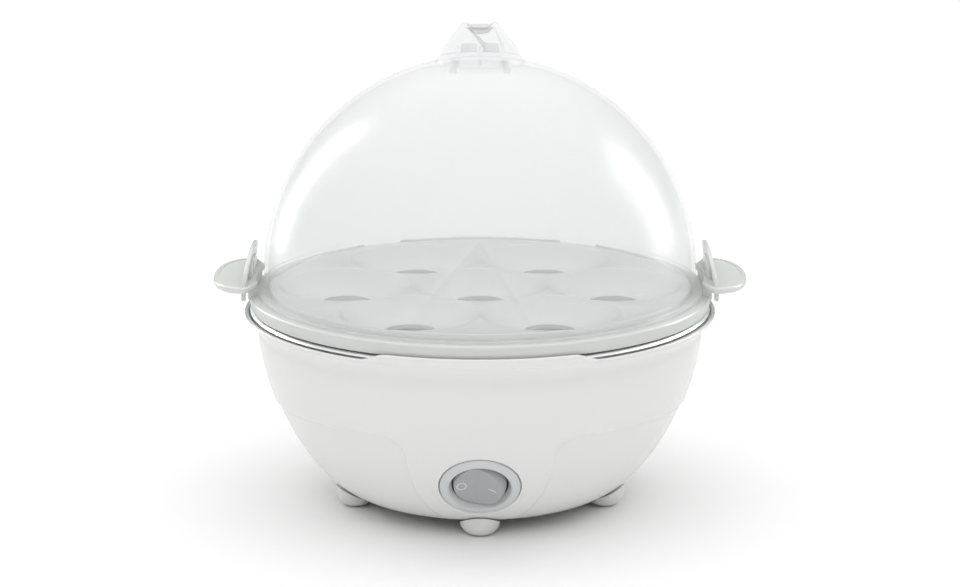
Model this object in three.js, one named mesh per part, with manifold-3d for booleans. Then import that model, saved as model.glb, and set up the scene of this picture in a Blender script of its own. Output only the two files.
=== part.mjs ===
// Electric egg cooker: a round water-heated base, a seven-seat egg tray with two side handles and a
// clear dome lid.  Millimetres, +Z up, the front (switch side) faces -Y, the origin is on the table
// under the centre of the cooker.
import * as THREE from "three";
import { mergeVertices } from "three/addons/utils/BufferGeometryUtils.js";
import Module from "manifold-3d";

const wasm = await Module();
wasm.setup();

// ---- fits -----------------------------------------------------------------------------------
const gap = 0.3;              // between pieces that rest on or in each other
const slip = 0.5;             // round pieces that pass through sheet metal
const bite = 0.6;             // how far moulded features sink into the wall that carries them

// ---- housing --------------------------------------------------------------------------------
const rimRadius = 84.3;       // outer edge of the flared rim
const rimHeight = 70;         // rim above the table
const footHeight = 4.5;       // underside of the body above the table
const floorRadius = 47;       // where the bowl starts to rise from its flat underside
const wall = 2.4;             // moulded wall
const lipFlare = 4.5;         // how far the rim flares out past the shoulder
const lipHeight = 6.7;        // height of the flared lip
const lipEdge = 1.4;          // width of the lip's top edge
const lipRound = 0.4;         // rounding of the lip's outer corner
const frontLift = 2.5;        // extra height of the lip above the switch
const liftHalfTurn = 22;      // degrees each side of the front with the full extra height
const liftFade = 7;           // degrees over which the extra height fades out
const lowerReach = 15;        // pull of the bowl curve along the floor
const lowerRise = 4.5;        // rise of that pull
const upperReach = 25.3;      // pull of the bowl curve down from the shoulder
const upperLean = 1.6;        // inward lean of that pull
const waveStep = 0.8;         // the upper zone stands this proud of the lower one
const waveHeight = 41.5;      // height of the step line beside the apron
const waveDip = 3.5;          // how far the step line sags round the sides
const apronMargin = 9.2;      // apron either side of the switch recess
const apronDepth = 33;        // how far the apron drops below its shoulders
const apronShoulder = 5.5;    // height of the shoulder fillets of the apron
const shoulderTurn = 7;       // degrees taken by each shoulder fillet
const ledgeDrop = 1.8;        // sealing ledge below the rim
const coverOpening = 39.6;    // radius of the service opening in the floor

// ---- underside ------------------------------------------------------------------------------
const coverThick = 1.8;
const ventCount = 10;
const ventInner = 14;
const ventOuter = 25;
const ventWidth = 2.6;
const bossCircle = 33;
const bossRadius = 3.6;
const bossTall = 8;
const coverScrews = 3;
const screwShank = 1.2;
const screwHead = 2.7;
const screwHeadTall = 1.5;
const screwDepth = 7;
const crossSlot = 0.7;
const footCount = 5;
const footCircle = 47;
const footTop = 7.2;
const footTip = 3.6;

// ---- water dish and heater ------------------------------------------------------------------
const sheet = 1;              // steel sheet of the dish
const dishDepth = 20;         // floor of the dish below the housing rim
const dishFloor = 60;         // radius of the dish's flat floor
const crownInset = 3.9;       // rolled crown inside the housing rim
const crownRise = 1.7;        // crown above the housing rim
const crownHalf = 1.05;       // half width of the crown's top
const crownFall = 0.4;        // drop of the crown over that half width
const dishSideIn = 2.6;       // dish wall inside the bowl wall
const sealHeight = 0.8;
const sealWidth = 1.5;
const studRadius = 2.2;
const studLong = 29;
const plateThick = 3;
const plateInner = 8;
const plateOuter = 36;
const coilCircle = 32;
const coilRadius = 2.8;
const coilEndTurn = 15;       // degrees from the front to each cold end
const pinTurn = 3;            // degrees from the coil's end to its pin
const pinRadius = 1.3;
const pinLong = 14;
const shieldDrop = 10;        // shield below the heating plate
const shieldThick = 0.8;
const shieldRadius = 38;
const shieldLip = 4;
const shieldClear = 1;        // air round each live pin and blade
const barThick = 2;
const barHalfWidth = 6;
const barDrop = 3.2;          // clamp bar below the shield
const barEndClear = 4;        // clamp bar short of the bowl wall
const lugHalfWidth = 8;
const lugDeep = 12;
const lugTall = 6;
const washerRadius = 5.5;
const washerThick = 1.2;
const tagThick = 0.8;
const tagRadius = 4.2;
const tagReach = 15;
const nutRadius = 4.6;
const nutTall = 4;
const thermostatRadius = 7;
const thermostatTall = 7.5;
const thermostatCircle = 20;
const bladeSpread = 4.2;      // thermostat blades either side of its middle
const bladeWide = 4.8;
const bladeThick = 0.8;
const bladeLong = 8;
const fuseRadius = 2.2;
const fuseLong = 13;

// ---- switch ---------------------------------------------------------------------------------
const switchHeight = 22;      // switch centre above the table, measured on the bowl
const bezelRadius = 13.8;
const bezelSink = 1.3;        // bezel seat plane below the crest of the bowl
const bezelThick = 1.5;
const bezelCrown = 0.9;       // inner rim of the bezel above its outer edge
const wellRadius = 9.7;       // opening at the foot of the bezel's funnel
const funnel = 1;             // funnel is this much wider at its mouth
const padMargin = 1.8;        // flat pad round the bezel recess
const padThick = 3;
const barrelWall = 1;
const barrelDeep = 15;
const rockerTurn = 22;        // full throw in degrees
const rockerBall = 9.35;      // the rocker stays inside a ball of this radius round its pivot
const rockerPivot = 3.2;      // pivot below the bezel seat
const rockerWaist = 2.8;      // rocker face above the pivot at the middle
const rockerWing = 4.6;       // and at its two ends
const rockerHollow = 0.45;    // rise of the face halfway to each end
const rockerSkirt = 2.2;
const plungerRadius = 1.2;
const plungerLong = 5;
const springWire = 0.45;
const springTurns = 4;
const armHalf = 6;
const armWide = 4;
const armThick = 0.6;
const armDepth = 9;           // contact arm below the rocker pivot
const armTurn = 16;           // full throw of the contact arm in degrees
const terminalReach = 8;      // blades behind the switch barrel

// ---- mains entry ----------------------------------------------------------------------------
const glandHeight = 16;
const glandBore = 2.6;
const glandBody = 4.2;
const glandFlange = 6.4;
const glandFlangeThick = 1.6;
const glandInnerClear = 2.2;     // the wall curves towards the inner flange
const glandNose = 5;
const blockWide = 24;
const blockDeep = 9;
const blockTall = 9;
const blockBack = 24;         // terminal block behind the centre
const wireRadius = 1.1;

// ---- egg tray -------------------------------------------------------------------------------
const trayWall = 1.5;
const trayInset = 2;          // ring inside the housing rim
const trayRingTall = 4.5;
const traySkirt = 2.2;        // locating skirt inside the dish
const trayUpstand = 2.5;      // low wall inside the dome
const seatCount = 6;          // outer seats, one more in the middle
const seatCircle = 48;
const seatRadius = 24.6;
const seatDepth = 6.5;
const seatHole = 9;
const wingReach = 11;         // side handle beyond the housing rim
const wingHalf = 24;
const wingHeight = 9.2;       // handle plane above the ring's foot
const wingThick = 2.2;
const shieldOut = 3.6;        // upright guard beyond the dome's foot
const guardThick = 1.4;
const guardTall = 12;
const guardLean = 2.2;
const innerGuardTall = 8;
const innerGuardHalf = 11;
const neckHalf = 12;
const legLong = 3.4;
const legWide = 3;
const legOffset = 19;

// ---- lid ------------------------------------------------------------------------------------
const domeInset = 4.9;        // dome wall inside the tray ring
const domeWall = 1.6;
const domeSkirt = 5.7;        // straight skirt between the foot and the ball
const domeFootOut = 2.3;
const domeFootTall = 2.1;
const gripBase = 16;
const gripBaseThick = 1.3;
const gripTall = 12.4;        // horn tips above the top of the dome
const gripHalf = 15;
const gripHorn = 5.3;
const gripValley = 2.6;
const gripDeep = 4.6;         // half thickness of the upright grip
const gussetThick = 1.3;
const gussetSpread = 7.8;
const gussetReach = 13;
const gussetTall = 5;
const hookSpread = 9;
const hookThick = 1.6;
const hookWide = 7;
const hookLong = 5.5;
const hookBarb = 1;
const ventRoom = 0.9;         // slot left open round each hook for steam

// ---- facets ---------------------------------------------------------------------------------
const housingSides = 56;
const ringSides = 44;
const smallSides = 14;
const turnedSides = 18;
const wireSides = 8;
const wireSteps = 3;
const coilSteps = 30;
const seatSides = 16;
const seatRows = 3;
const domeRows = 7;
const frontDensity = 0.5;     // facets are this much finer at the front
const bellyRows = 8;
const lowerRows = 3;
const upperRows = 3;
const lipRows = 3;
const innerRows = 5;

// ---- worked out from the sizes above --------------------------------------------------------
const shoulderRadius = rimRadius - lipFlare;
const shoulderHeight = rimHeight - lipHeight;
const dishFloorTop = rimHeight - dishDepth;
const crownRadius = rimRadius - crownInset;
const dishSide = shoulderRadius - wall - dishSideIn;
const crownTop = rimHeight + crownRise;
const plateTop = dishFloorTop - sheet - gap;
const plateBottom = plateTop - plateThick;
const shieldTop = plateBottom - shieldDrop;
const barTop = shieldTop - barDrop;
const trayFoot = crownTop + gap;
const trayRadius = rimRadius - trayInset;
const trayRingTop = trayFoot + trayRingTall;
const trayTop = trayRingTop + trayWall;
const domeRadius = trayRadius - domeInset;
const domeFoot = trayRingTop + gap;
const domeCentre = domeFoot + domeSkirt;
const domeTop = domeCentre + domeRadius;
const domeFootRadius = domeRadius + domeFootOut;
const recessRadius = bezelRadius + gap;
const barrelRadius = wellRadius - 0.1 + barrelWall;
const wingPlane = trayFoot + wingHeight;
const wingTip = rimRadius + wingReach;
const guardRadius = domeFootRadius + shieldOut;

// ---- colours --------------------------------------------------------------------------------
const finish = (color, roughness, metalness = 0) =>
  new THREE.MeshStandardMaterial({ color, roughness, metalness });
const whitePlastic = finish(0xeeeeec, 0.3);
const palePlastic = finish(0xd8dad8, 0.35);
const milkPlastic = finish(0xdfe3df, 0.3);
const clearPlastic = new THREE.MeshStandardMaterial({
  color: 0xf2f4f5, roughness: 0.05, transparent: true, opacity: 0.35,
});
const greyPlastic = finish(0x8b8d8f, 0.4);
const ringPlastic = finish(0xc9cacb, 0.35);
const darkPlastic = finish(0x2b2c2e, 0.5);
const rubber = finish(0x3a3a3c, 0.8);
const silicone = finish(0xd9d6cc, 0.6);
const steel = finish(0xc8cbcd, 0.15, 1);
const zincSteel = finish(0xa9adb0, 0.4, 1);
const aluminium = finish(0xb9bbbd, 0.45, 1);
const brass = finish(0xc2a14a, 0.3, 1);
const ceramic = finish(0xe6e1d5, 0.55);
const redWire = finish(0x9c3b2c, 0.5);
const blueWire = finish(0x3b5c8c, 0.5);
const greenWire = finish(0x6f8a35, 0.5);

// ---- solids ---------------------------------------------------------------------------------
const radians = THREE.MathUtils.degToRad;

function toSolid(geometry) {
  const bare = new THREE.BufferGeometry();
  bare.setAttribute("position", geometry.getAttribute("position").clone());
  if (geometry.index) bare.setIndex(geometry.index.clone());
  const merged = mergeVertices(bare, 1e-3);
  const corners = [];
  for (let i = 0; i < merged.index.count; i += 3) {
    const [a, b, c] = [0, 1, 2].map((step) => merged.index.getX(i + step));
    if (a !== b && b !== c && c !== a) corners.push(a, b, c);
  }
  return new wasm.Manifold(new wasm.Mesh({
    numProp: 3,
    vertProperties: new Float32Array(merged.getAttribute("position").array),
    triVerts: new Uint32Array(corners),
  }));
}

function toGeometry(solid) {
  const { vertProperties, triVerts } = solid.getMesh();
  const geometry = new THREE.BufferGeometry();
  geometry.setAttribute("position", new THREE.BufferAttribute(new Float32Array(vertProperties), 3));
  geometry.setIndex(new THREE.BufferAttribute(new Uint32Array(triVerts), 1));
  geometry.computeVertexNormals();
  return geometry;
}

function piece(name, solid, material) {
  const mesh = new THREE.Mesh(toGeometry(solid), material);
  mesh.name = name;
  return mesh;
}

const moved = (solid, x, y, z) => solid.translate([x, y, z]);
const turned = (solid, degrees) => solid.rotate([0, 0, degrees]);
const placed = (solid, matrix) => solid.transform(matrix.elements);

// A turned body about Z from its half section [radius, height], listed anticlockwise.
function revolve(section, sides = ringSides) {
  const points = section.map(([radius, height]) => new THREE.Vector2(radius, height));
  if (section.every(([radius]) => radius > 0)) points.push(points[0].clone());
  return toSolid(new THREE.LatheGeometry(points, sides).rotateX(Math.PI / 2));
}

function disc(radius, low, high, sides = smallSides) {
  return revolve([[0, low], [radius, low], [radius, high], [0, high]], sides);
}

function tubeRing(inner, outer, low, high, sides = ringSides) {
  return revolve([[inner, low], [outer, low], [outer, high], [inner, high]], sides);
}

function block(wide, deep, tall, x = 0, y = 0, low = 0) {
  const geometry = new THREE.BoxGeometry(wide, deep, tall);
  return toSolid(geometry.translate(x, y, low + tall / 2));
}

// A flat outline [x, z] given a thickness along Y, centred on `y`.
function standing(outline, thick, y = 0) {
  const shape = new THREE.Shape(outline.map(([x, z]) => new THREE.Vector2(x, z)));
  const geometry = new THREE.ExtrudeGeometry(shape, { depth: thick, bevelEnabled: false });
  return toSolid(geometry.rotateX(Math.PI / 2).translate(0, y + thick / 2, 0));
}

// A flat outline [x, y] given a thickness upwards from `low`.
function lying(outline, thick, low) {
  const shape = new THREE.Shape(outline.map(([x, y]) => new THREE.Vector2(x, y)));
  const geometry = new THREE.ExtrudeGeometry(shape, { depth: thick, bevelEnabled: false });
  return toSolid(geometry.translate(0, 0, low));
}

function rope(curve, radius, steps, sides = wireSides) {
  const shape = new THREE.Shape(new THREE.EllipseCurve(0, 0, radius, radius).getPoints(sides).slice(1));
  return toSolid(new THREE.ExtrudeGeometry(shape, { extrudePath: curve, steps, bevelEnabled: false }));
}

// The section of a bent sheet from its upper line [radius, height], listed from the axis outwards.
function sheetSection(line, thick) {
  const last = line.length - 1;
  const under = line.map(([radius, height], i) => {
    const [r0, z0] = line[Math.max(i - 1, 0)];
    const [r1, z1] = line[Math.min(i + 1, last)];
    const run = Math.hypot(r1 - r0, z1 - z0);
    return [Math.max(radius + (thick * (z1 - z0)) / run, 0), height - (thick * (r1 - r0)) / run];
  });
  return [...under, ...line.reverse()];
}

// ---- the bowl's outer curve -------------------------------------------------------------------
const bowlCurve = new THREE.CubicBezierCurve(
  new THREE.Vector2(floorRadius, footHeight),
  new THREE.Vector2(floorRadius + lowerReach, footHeight + lowerRise),
  new THREE.Vector2(shoulderRadius - upperLean, shoulderHeight - upperReach),
  new THREE.Vector2(shoulderRadius, shoulderHeight),
);

function bowlShare(height) {
  let [low, high] = [0, 1];
  for (let i = 0; i < 30; i += 1) {
    const middle = (low + high) / 2;
    if (bowlCurve.getPoint(middle).y < height) low = middle;
    else high = middle;
  }
  return (low + high) / 2;
}

const bowlRadius = (height) => bowlCurve.getPoint(bowlShare(height)).x;

function bowlInside(share) {
  const point = bowlCurve.getPoint(share);
  const along = bowlCurve.getTangent(share);
  return [point.x - wall * along.y, point.y + wall * along.x];
}

// A frame on the bowl: X round it, Y up it and Z straight out of it.
function wallPlace(height, turn) {
  const share = bowlShare(height);
  const point = bowlCurve.getPoint(share);
  const along = bowlCurve.getTangent(share);
  const out = new THREE.Vector3(along.y * Math.sin(turn), -along.y * Math.cos(turn), -along.x);
  const side = new THREE.Vector3(Math.cos(turn), Math.sin(turn), 0);
  const frame = new THREE.Matrix4().makeBasis(side, out.clone().cross(side), out);
  return frame.setPosition(point.x * Math.sin(turn), -point.x * Math.cos(turn), point.y);
}

const switchPlace = wallPlace(switchHeight, 0);
const glandPlace = wallPlace(glandHeight, Math.PI);

// ---- housing ----------------------------------------------------------------------------------
const apronTurn = THREE.MathUtils.radToDeg(
  Math.asin((recessRadius + apronMargin) / bowlRadius(switchHeight)),
);

// Height of the step line at an angle from the front: an apron round the switch, then a slow wave.
function stepLine(degrees) {
  const apronTop = waveHeight - apronShoulder;
  if (degrees < apronTurn) {
    const drop = apronDepth * Math.cbrt(1 - (degrees / apronTurn) ** 3);
    return Math.max(apronTop - drop, footHeight + 2 * waveStep);
  }
  if (degrees < apronTurn + shoulderTurn) {
    const left = 1 - (degrees - apronTurn) / shoulderTurn;
    return apronTop + apronShoulder * Math.sqrt(1 - left * left);
  }
  const round = (degrees - apronTurn - shoulderTurn) / (180 - apronTurn - shoulderTurn);
  return waveHeight - waveDip * Math.sin(round * Math.PI) ** 2;
}

function lipLift(degrees) {
  return frontLift * (1 - THREE.MathUtils.smoothstep(degrees, liftHalfTurn, liftHalfTurn + liftFade));
}

// The half section of the shell at one angle, anticlockwise from the floor's inner edge.
function housingSection(turn) {
  const degrees = Math.abs(THREE.MathUtils.radToDeg(turn));
  const step = stepLine(degrees);
  const rim = rimHeight + lipLift(degrees);
  const section = [[coverOpening, footHeight], [floorRadius - waveStep, footHeight]];
  for (let row = 1; row <= lowerRows; row += 1) {
    const height = footHeight + ((step - waveStep - footHeight) * row) / lowerRows;
    section.push([bowlRadius(height) - waveStep, height]);
  }
  for (let row = 0; row <= upperRows; row += 1) {
    const height = step + ((shoulderHeight - step) * row) / upperRows;
    section.push([bowlRadius(height), height]);
  }
  for (let row = 1; row <= lipRows; row += 1) {
    const share = row / lipRows;
    section.push([shoulderRadius + lipFlare * share ** 2, shoulderHeight + (lipHeight - lipRound) * share]);
  }
  section.push([rimRadius - lipRound, rim], [rimRadius - lipEdge, rim]);
  section.push([rimRadius - lipEdge - lipRound, rimHeight - ledgeDrop]);
  section.push([shoulderRadius - wall / 2, rimHeight - ledgeDrop - lipRound]);
  for (let row = innerRows; row >= 0; row -= 1) section.push(bowlInside(row / innerRows));
  section.push([coverOpening, footHeight + wall]);
  return section;
}

function housingShell() {
  const rows = housingSection(0).length + 1;
  const blank = Array.from({ length: rows }, (_, row) => new THREE.Vector2(1, row));
  const geometry = new THREE.LatheGeometry(blank, housingSides);
  const corners = geometry.getAttribute("position");
  for (let side = 0; side <= housingSides; side += 1) {
    const share = (2 * side) / housingSides - 1;
    const turn = Math.PI * share * (frontDensity + (1 - frontDensity) * share * share);
    const section = housingSection(turn);
    [...section, section[0]].forEach(([radius, height], row) => {
      corners.setXYZ(side * rows + row, radius * Math.sin(turn), -radius * Math.cos(turn), height);
    });
  }
  return toSolid(geometry);
}

function coverBoss(degrees) {
  const low = footHeight + coverThick + gap;
  const post = moved(disc(bossRadius, low, low + bossTall), 0, -bossCircle, 0);
  const reach = floorRadius - bossCircle;
  const rib = block(wall, reach, bossTall, 0, -bossCircle - reach / 2, low);
  return turned(post.add(rib), degrees);
}

function clampLug(side) {
  const low = barTop + gap;
  const outer = bowlRadius(low) - wall + bite;
  return block(lugDeep, 2 * lugHalfWidth, lugTall, side * (outer - lugDeep / 2), 0, low);
}

function housing() {
  const pad = disc(recessRadius + padMargin, -bezelSink - bezelThick - padThick, -bezelSink, ringSides);
  const recess = disc(recessRadius, -bezelSink - bezelThick, 2 * padThick, ringSides);
  const barrelHole = disc(barrelRadius + gap, -4 * padThick, padThick, ringSides);
  const glandHole = disc(glandBody + gap, -4 * wall, 2 * wall, smallSides);
  let shell = housingShell().add(placed(pad, switchPlace));
  shell = shell.subtract(placed(recess.add(barrelHole), switchPlace));
  shell = shell.subtract(placed(glandHole, glandPlace));
  for (const side of [-1, 1]) shell = shell.add(clampLug(side));
  const pilot = disc(screwShank + gap, footHeight, footHeight + screwDepth + screwShank + gap, 10);
  for (let i = 0; i < coverScrews; i += 1) {
    const degrees = screwTurn(i);
    shell = shell.add(coverBoss(degrees)).subtract(turned(moved(pilot, 0, -bossCircle, 0), degrees));
  }
  return shell;
}

// ---- underside --------------------------------------------------------------------------------
const screwTurn = (i) => 60 + (i * 360) / coverScrews;

function bottomCover() {
  const plate = disc(coverOpening - gap, footHeight, footHeight + coverThick, ringSides);
  let cut = null;
  const slotLong = ventOuter - ventInner;
  const slot = block(ventWidth, slotLong, 3 * coverThick, 0, -(ventInner + ventOuter) / 2, 0);
  const vent = moved(slot, 0, 0, footHeight - coverThick);
  for (let i = 0; i < ventCount; i += 1) {
    const copy = turned(vent, (i * 360) / ventCount);
    cut = cut ? cut.add(copy) : copy;
  }
  const hole = moved(disc(screwShank + gap, 0, footHeight + 2 * coverThick), 0, -bossCircle, 0);
  for (let i = 0; i < coverScrews; i += 1) cut = cut.add(turned(hole, screwTurn(i)));
  return plate.subtract(cut);
}

function coverScrew(i) {
  const under = footHeight - gap;
  const head = [[0, under - screwHeadTall], [screwHead * 0.7, under - screwHeadTall], [screwHead, under]];
  const shank = [[screwShank, under], [screwShank, under + screwDepth], [0, under + screwDepth + screwShank]];
  const slots = block(2 * screwHead * 0.7, crossSlot, screwHeadTall, 0, 0, under - 1.5 * screwHeadTall)
    .add(block(crossSlot, 2 * screwHead * 0.7, screwHeadTall, 0, 0, under - 1.5 * screwHeadTall));
  const screw = revolve([...head, ...shank], 10).subtract(slots);
  return turned(moved(screw, 0, -bossCircle, 0), screwTurn(i));
}

// Each foot is a rounded bumper whose top follows the underside of the bowl.
function foot(i) {
  const bumper = revolve([
    [0, 0], [footTip, 0], [footTop * 0.78, footHeight * 0.3], [footTop * 0.95, footHeight * 0.7],
    [footTop, footHeight * 1.1], [footTop, 2 * footHeight], [0, 2 * footHeight],
  ], turnedSides);
  const belly = [[0, footHeight - gap], [floorRadius, footHeight - gap]];
  for (let row = 1; row <= bellyRows; row += 1) {
    const height = footHeight + (2 * footHeight * row) / bellyRows;
    belly.push([bowlRadius(height) + gap, height - 2 * gap]);
  }
  belly.push([0, 3 * footHeight - 2 * gap]);
  return turned(moved(bumper, 0, -footCircle, 0), (i * 360) / footCount).subtract(revolve(belly));
}

// ---- dish and heater --------------------------------------------------------------------------
function heatingDish() {
  const line = [
    [0, dishFloorTop],
    [dishFloor, dishFloorTop],
    [dishFloor + 6, dishFloorTop + 1.2],
    [dishSide - 3.4, dishFloorTop + 4.6],
    [dishSide, shoulderHeight - 3],
    [dishSide + 1, rimHeight - 3.4],
    [crownRadius - crownHalf, crownTop - crownFall],
    [crownRadius, crownTop],
    [crownRadius + crownHalf, crownTop - crownFall],
    [crownRadius + 2 * crownHalf, rimHeight + crownFall],
  ];
  const stud = disc(studRadius, dishFloorTop - sheet - studLong, dishFloorTop - sheet / 2, smallSides);
  return revolve(sheetSection(line, sheet)).add(stud);
}

function dishSeal() {
  const low = rimHeight - ledgeDrop + gap;
  return tubeRing(crownRadius, crownRadius + sealWidth, low, low + sealHeight);
}

function heatingPlate() {
  return tubeRing(plateInner, plateOuter, plateBottom, plateTop, ringSides - 12);
}

const coilHeight = plateBottom - gap - coilRadius;

// The lower end of the cold pin on one side of the coil's open front.
function coilPin(side) {
  const angle = radians(-90 + side * (coilEndTurn + pinTurn));
  return [coilCircle * Math.cos(angle), coilCircle * Math.sin(angle), coilHeight - pinLong];
}

function heatingCoil() {
  const start = radians(-90 + coilEndTurn);
  const end = radians(270 - coilEndTurn);
  const ring = new THREE.Curve();
  ring.getPoint = (share) => {
    const angle = start + (end - start) * share;
    return new THREE.Vector3(coilCircle * Math.cos(angle), coilCircle * Math.sin(angle), coilHeight);
  };
  let coil = rope(ring, coilRadius, coilSteps);
  const pin = disc(pinRadius, 0, pinLong, wireSides);
  for (const side of [-1, 1]) coil = coil.add(moved(pin, ...coilPin(side)));
  return coil;
}

function heatShield() {
  const pan = revolve(sheetSection([
    [0, shieldTop],
    [shieldRadius, shieldTop],
    [shieldRadius, shieldTop + shieldLip],
  ], shieldThick));
  const low = shieldTop - 2 * shieldThick;
  let holes = disc(studRadius + slip, low, shieldTop + 1);
  for (const side of [-1, 1]) {
    const [x, y] = coilPin(side);
    holes = holes.add(moved(disc(pinRadius + shieldClear, low, shieldTop + 1), x, y, 0));
    const slot = block(bladeThick + 2 * shieldClear, bladeWide + 2 * shieldClear, 3 * shieldThick + 1);
    holes = holes.add(moved(slot, side * bladeSpread, thermostatCircle, low));
  }
  return pan.subtract(holes);
}

function thermostat() {
  const top = plateBottom - gap;
  const cap = disc(thermostatRadius, top - thermostatTall * 0.4, top, turnedSides);
  const body = disc(thermostatRadius * 0.88, top - thermostatTall, top - thermostatTall * 0.3, turnedSides);
  let solid = cap.add(body);
  for (const side of [-1, 1]) {
    const low = top - thermostatTall - bladeLong;
    solid = solid.add(block(bladeThick, bladeWide, bladeLong + bite, side * bladeSpread, 0, low));
  }
  return moved(solid, 0, thermostatCircle, 0);
}

function clampBar() {
  const half = bowlRadius(barTop) - wall - barEndClear;
  const bar = block(2 * half, 2 * barHalfWidth, barThick, 0, 0, barTop - barThick);
  return bar.subtract(disc(studRadius + slip, barTop - 2 * barThick, barTop + barThick));
}

const washerTop = barTop - barThick - gap;
const tagTop = washerTop - washerThick - gap;
const nutTop = tagTop - tagThick - gap;

function clampWasher() {
  return tubeRing(studRadius + gap, washerRadius, washerTop - washerThick, washerTop, turnedSides);
}

function earthTag() {
  const blade = block(bladeWide, tagReach, tagThick, 0, tagReach / 2, tagTop - tagThick);
  const eye = disc(tagRadius, tagTop - tagThick, tagTop, smallSides);
  return blade.add(eye).subtract(disc(studRadius + gap, tagTop - 2 * tagThick, tagTop + tagThick));
}

function clampNut() {
  const hexagon = disc(nutRadius, nutTop - nutTall, nutTop, 6);
  return hexagon.subtract(disc(studRadius + gap, nutTop - 2 * nutTall, nutTop + 1));
}

// ---- switch, in the frame of the bowl wall ----------------------------------------------------
const seat = -bezelSink - bezelThick;

function switchBezel() {
  const low = seat + gap;
  const edge = low + bezelThick;
  return revolve([
    [wellRadius, low], [bezelRadius, low], [bezelRadius, edge - 0.5], [bezelRadius - 0.6, edge],
    [wellRadius + funnel + 1.2, edge + bezelCrown * 0.8], [wellRadius + funnel + 0.5, edge + bezelCrown],
    [wellRadius + funnel, edge + bezelCrown * 0.8],
  ], 36);
}

function switchBarrel() {
  const low = seat - barrelDeep;
  const cup = revolve([
    [0, low], [barrelRadius - 1, low], [barrelRadius, low + 1], [barrelRadius, seat],
    [barrelRadius - barrelWall, seat], [barrelRadius - barrelWall, low + 1.5], [0, low + 1.5],
  ], 24);
  let slots = null;
  for (const x of terminalSpots) {
    const slot = block(bladeThick + 2 * gap, bladeWide + 2 * gap, 6, x, 0, low - 2);
    slots = slots ? slots.add(slot) : slot;
  }
  return cup.subtract(slots);
}

const pivotLevel = seat + gap - rockerPivot + bezelThick;
const terminalSpots = [0, -armHalf + 1];

function rocker() {
  const end = Math.sqrt(rockerBall ** 2 - rockerWing ** 2);
  const skirtEnd = Math.sqrt(rockerBall ** 2 - rockerSkirt ** 2);
  const hollow = [end * 0.45, rockerWaist + rockerHollow];
  const profile = [
    [-skirtEnd, -rockerSkirt], [skirtEnd, -rockerSkirt], [rockerBall, 0], [end, rockerWing],
    hollow, [0, rockerWaist], [-hollow[0], hollow[1]], [-end, rockerWing], [-rockerBall, 0],
  ];
  const bar = standing(profile, 2 * rockerBall);
  const ball = toSolid(new THREE.SphereGeometry(rockerBall, 24, 14));
  const plunger = disc(plungerRadius, -rockerSkirt - plungerLong, -rockerSkirt / 2, 10);
  return bar.intersect(ball).add(plunger);
}

function rockerSpring() {
  const high = -rockerSkirt - gap - springWire;
  const low = -rockerSkirt - plungerLong + springWire;
  const radius = plungerRadius + gap + springWire;
  const helix = new THREE.Curve();
  helix.getPoint = (share) => {
    const angle = share * springTurns * 2 * Math.PI;
    return new THREE.Vector3(radius * Math.cos(angle), radius * Math.sin(angle), low + (high - low) * share);
  };
  return rope(helix, springWire, springTurns * 8, 5);
}

function contactArm() {
  return block(2 * armHalf, armWide, armThick, 0, 0, -armThick / 2);
}

function switchTerminal(i) {
  const top = i === 0 ? armTop - armThick - gap : armTop - armHalf * Math.sin(radians(armTurn / 2)) - 1.2;
  const low = seat - barrelDeep - terminalReach;
  return block(bladeThick, bladeWide, top - low, terminalSpots[i], 0, low);
}

const armTop = pivotLevel - armDepth;

// ---- mains entry ------------------------------------------------------------------------------
function cordGland() {
  const inner = -wall - glandInnerClear;
  return revolve([
    [glandBore, inner - glandFlangeThick], [glandFlange, inner - glandFlangeThick], [glandFlange, inner],
    [glandBody, inner], [glandBody, gap], [glandFlange, gap], [glandFlange, gap + glandFlangeThick],
    [glandBody, gap + glandFlangeThick + 1], [glandBody - 0.6, gap + glandNose],
    [glandBore, gap + glandNose],
  ], turnedSides);
}

function terminalBlock() {
  const low = footHeight + coverThick + gap;
  let solid = block(blockWide, blockDeep, blockTall, 0, blockBack, low);
  const pitch = blockWide / 3;
  for (let i = -1; i <= 1; i += 1) {
    const screwWell = moved(disc(2, low + blockTall - 3, low + blockTall + 1, 10), i * pitch, blockBack, 0);
    solid = solid.subtract(screwWell);
  }
  return solid;
}

function thermalFuse() {
  const lay = new THREE.Matrix4().makeRotationY(Math.PI / 2);
  const sleeve = placed(disc(fuseRadius, -fuseLong / 2, fuseLong / 2, 10), lay);
  return moved(sleeve, ...fusePlace);
}

const fusePlace = [-24, -8, barTop - barThick - fuseRadius - 2];
const wireClear = 0.6;         // from a switch terminal to its wire, beyond the usual gap

function wire(points) {
  const curve = new THREE.CatmullRomCurve3(points.map((point) => new THREE.Vector3(...point)));
  return rope(curve, wireRadius, wireSteps * (points.length - 1), 6);
}

function switchTail(i) {
  const low = seat - barrelDeep - terminalReach - gap - wireRadius - wireClear;
  return new THREE.Vector3(terminalSpots[i], 0, low).applyMatrix4(switchPlace).toArray();
}

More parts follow.
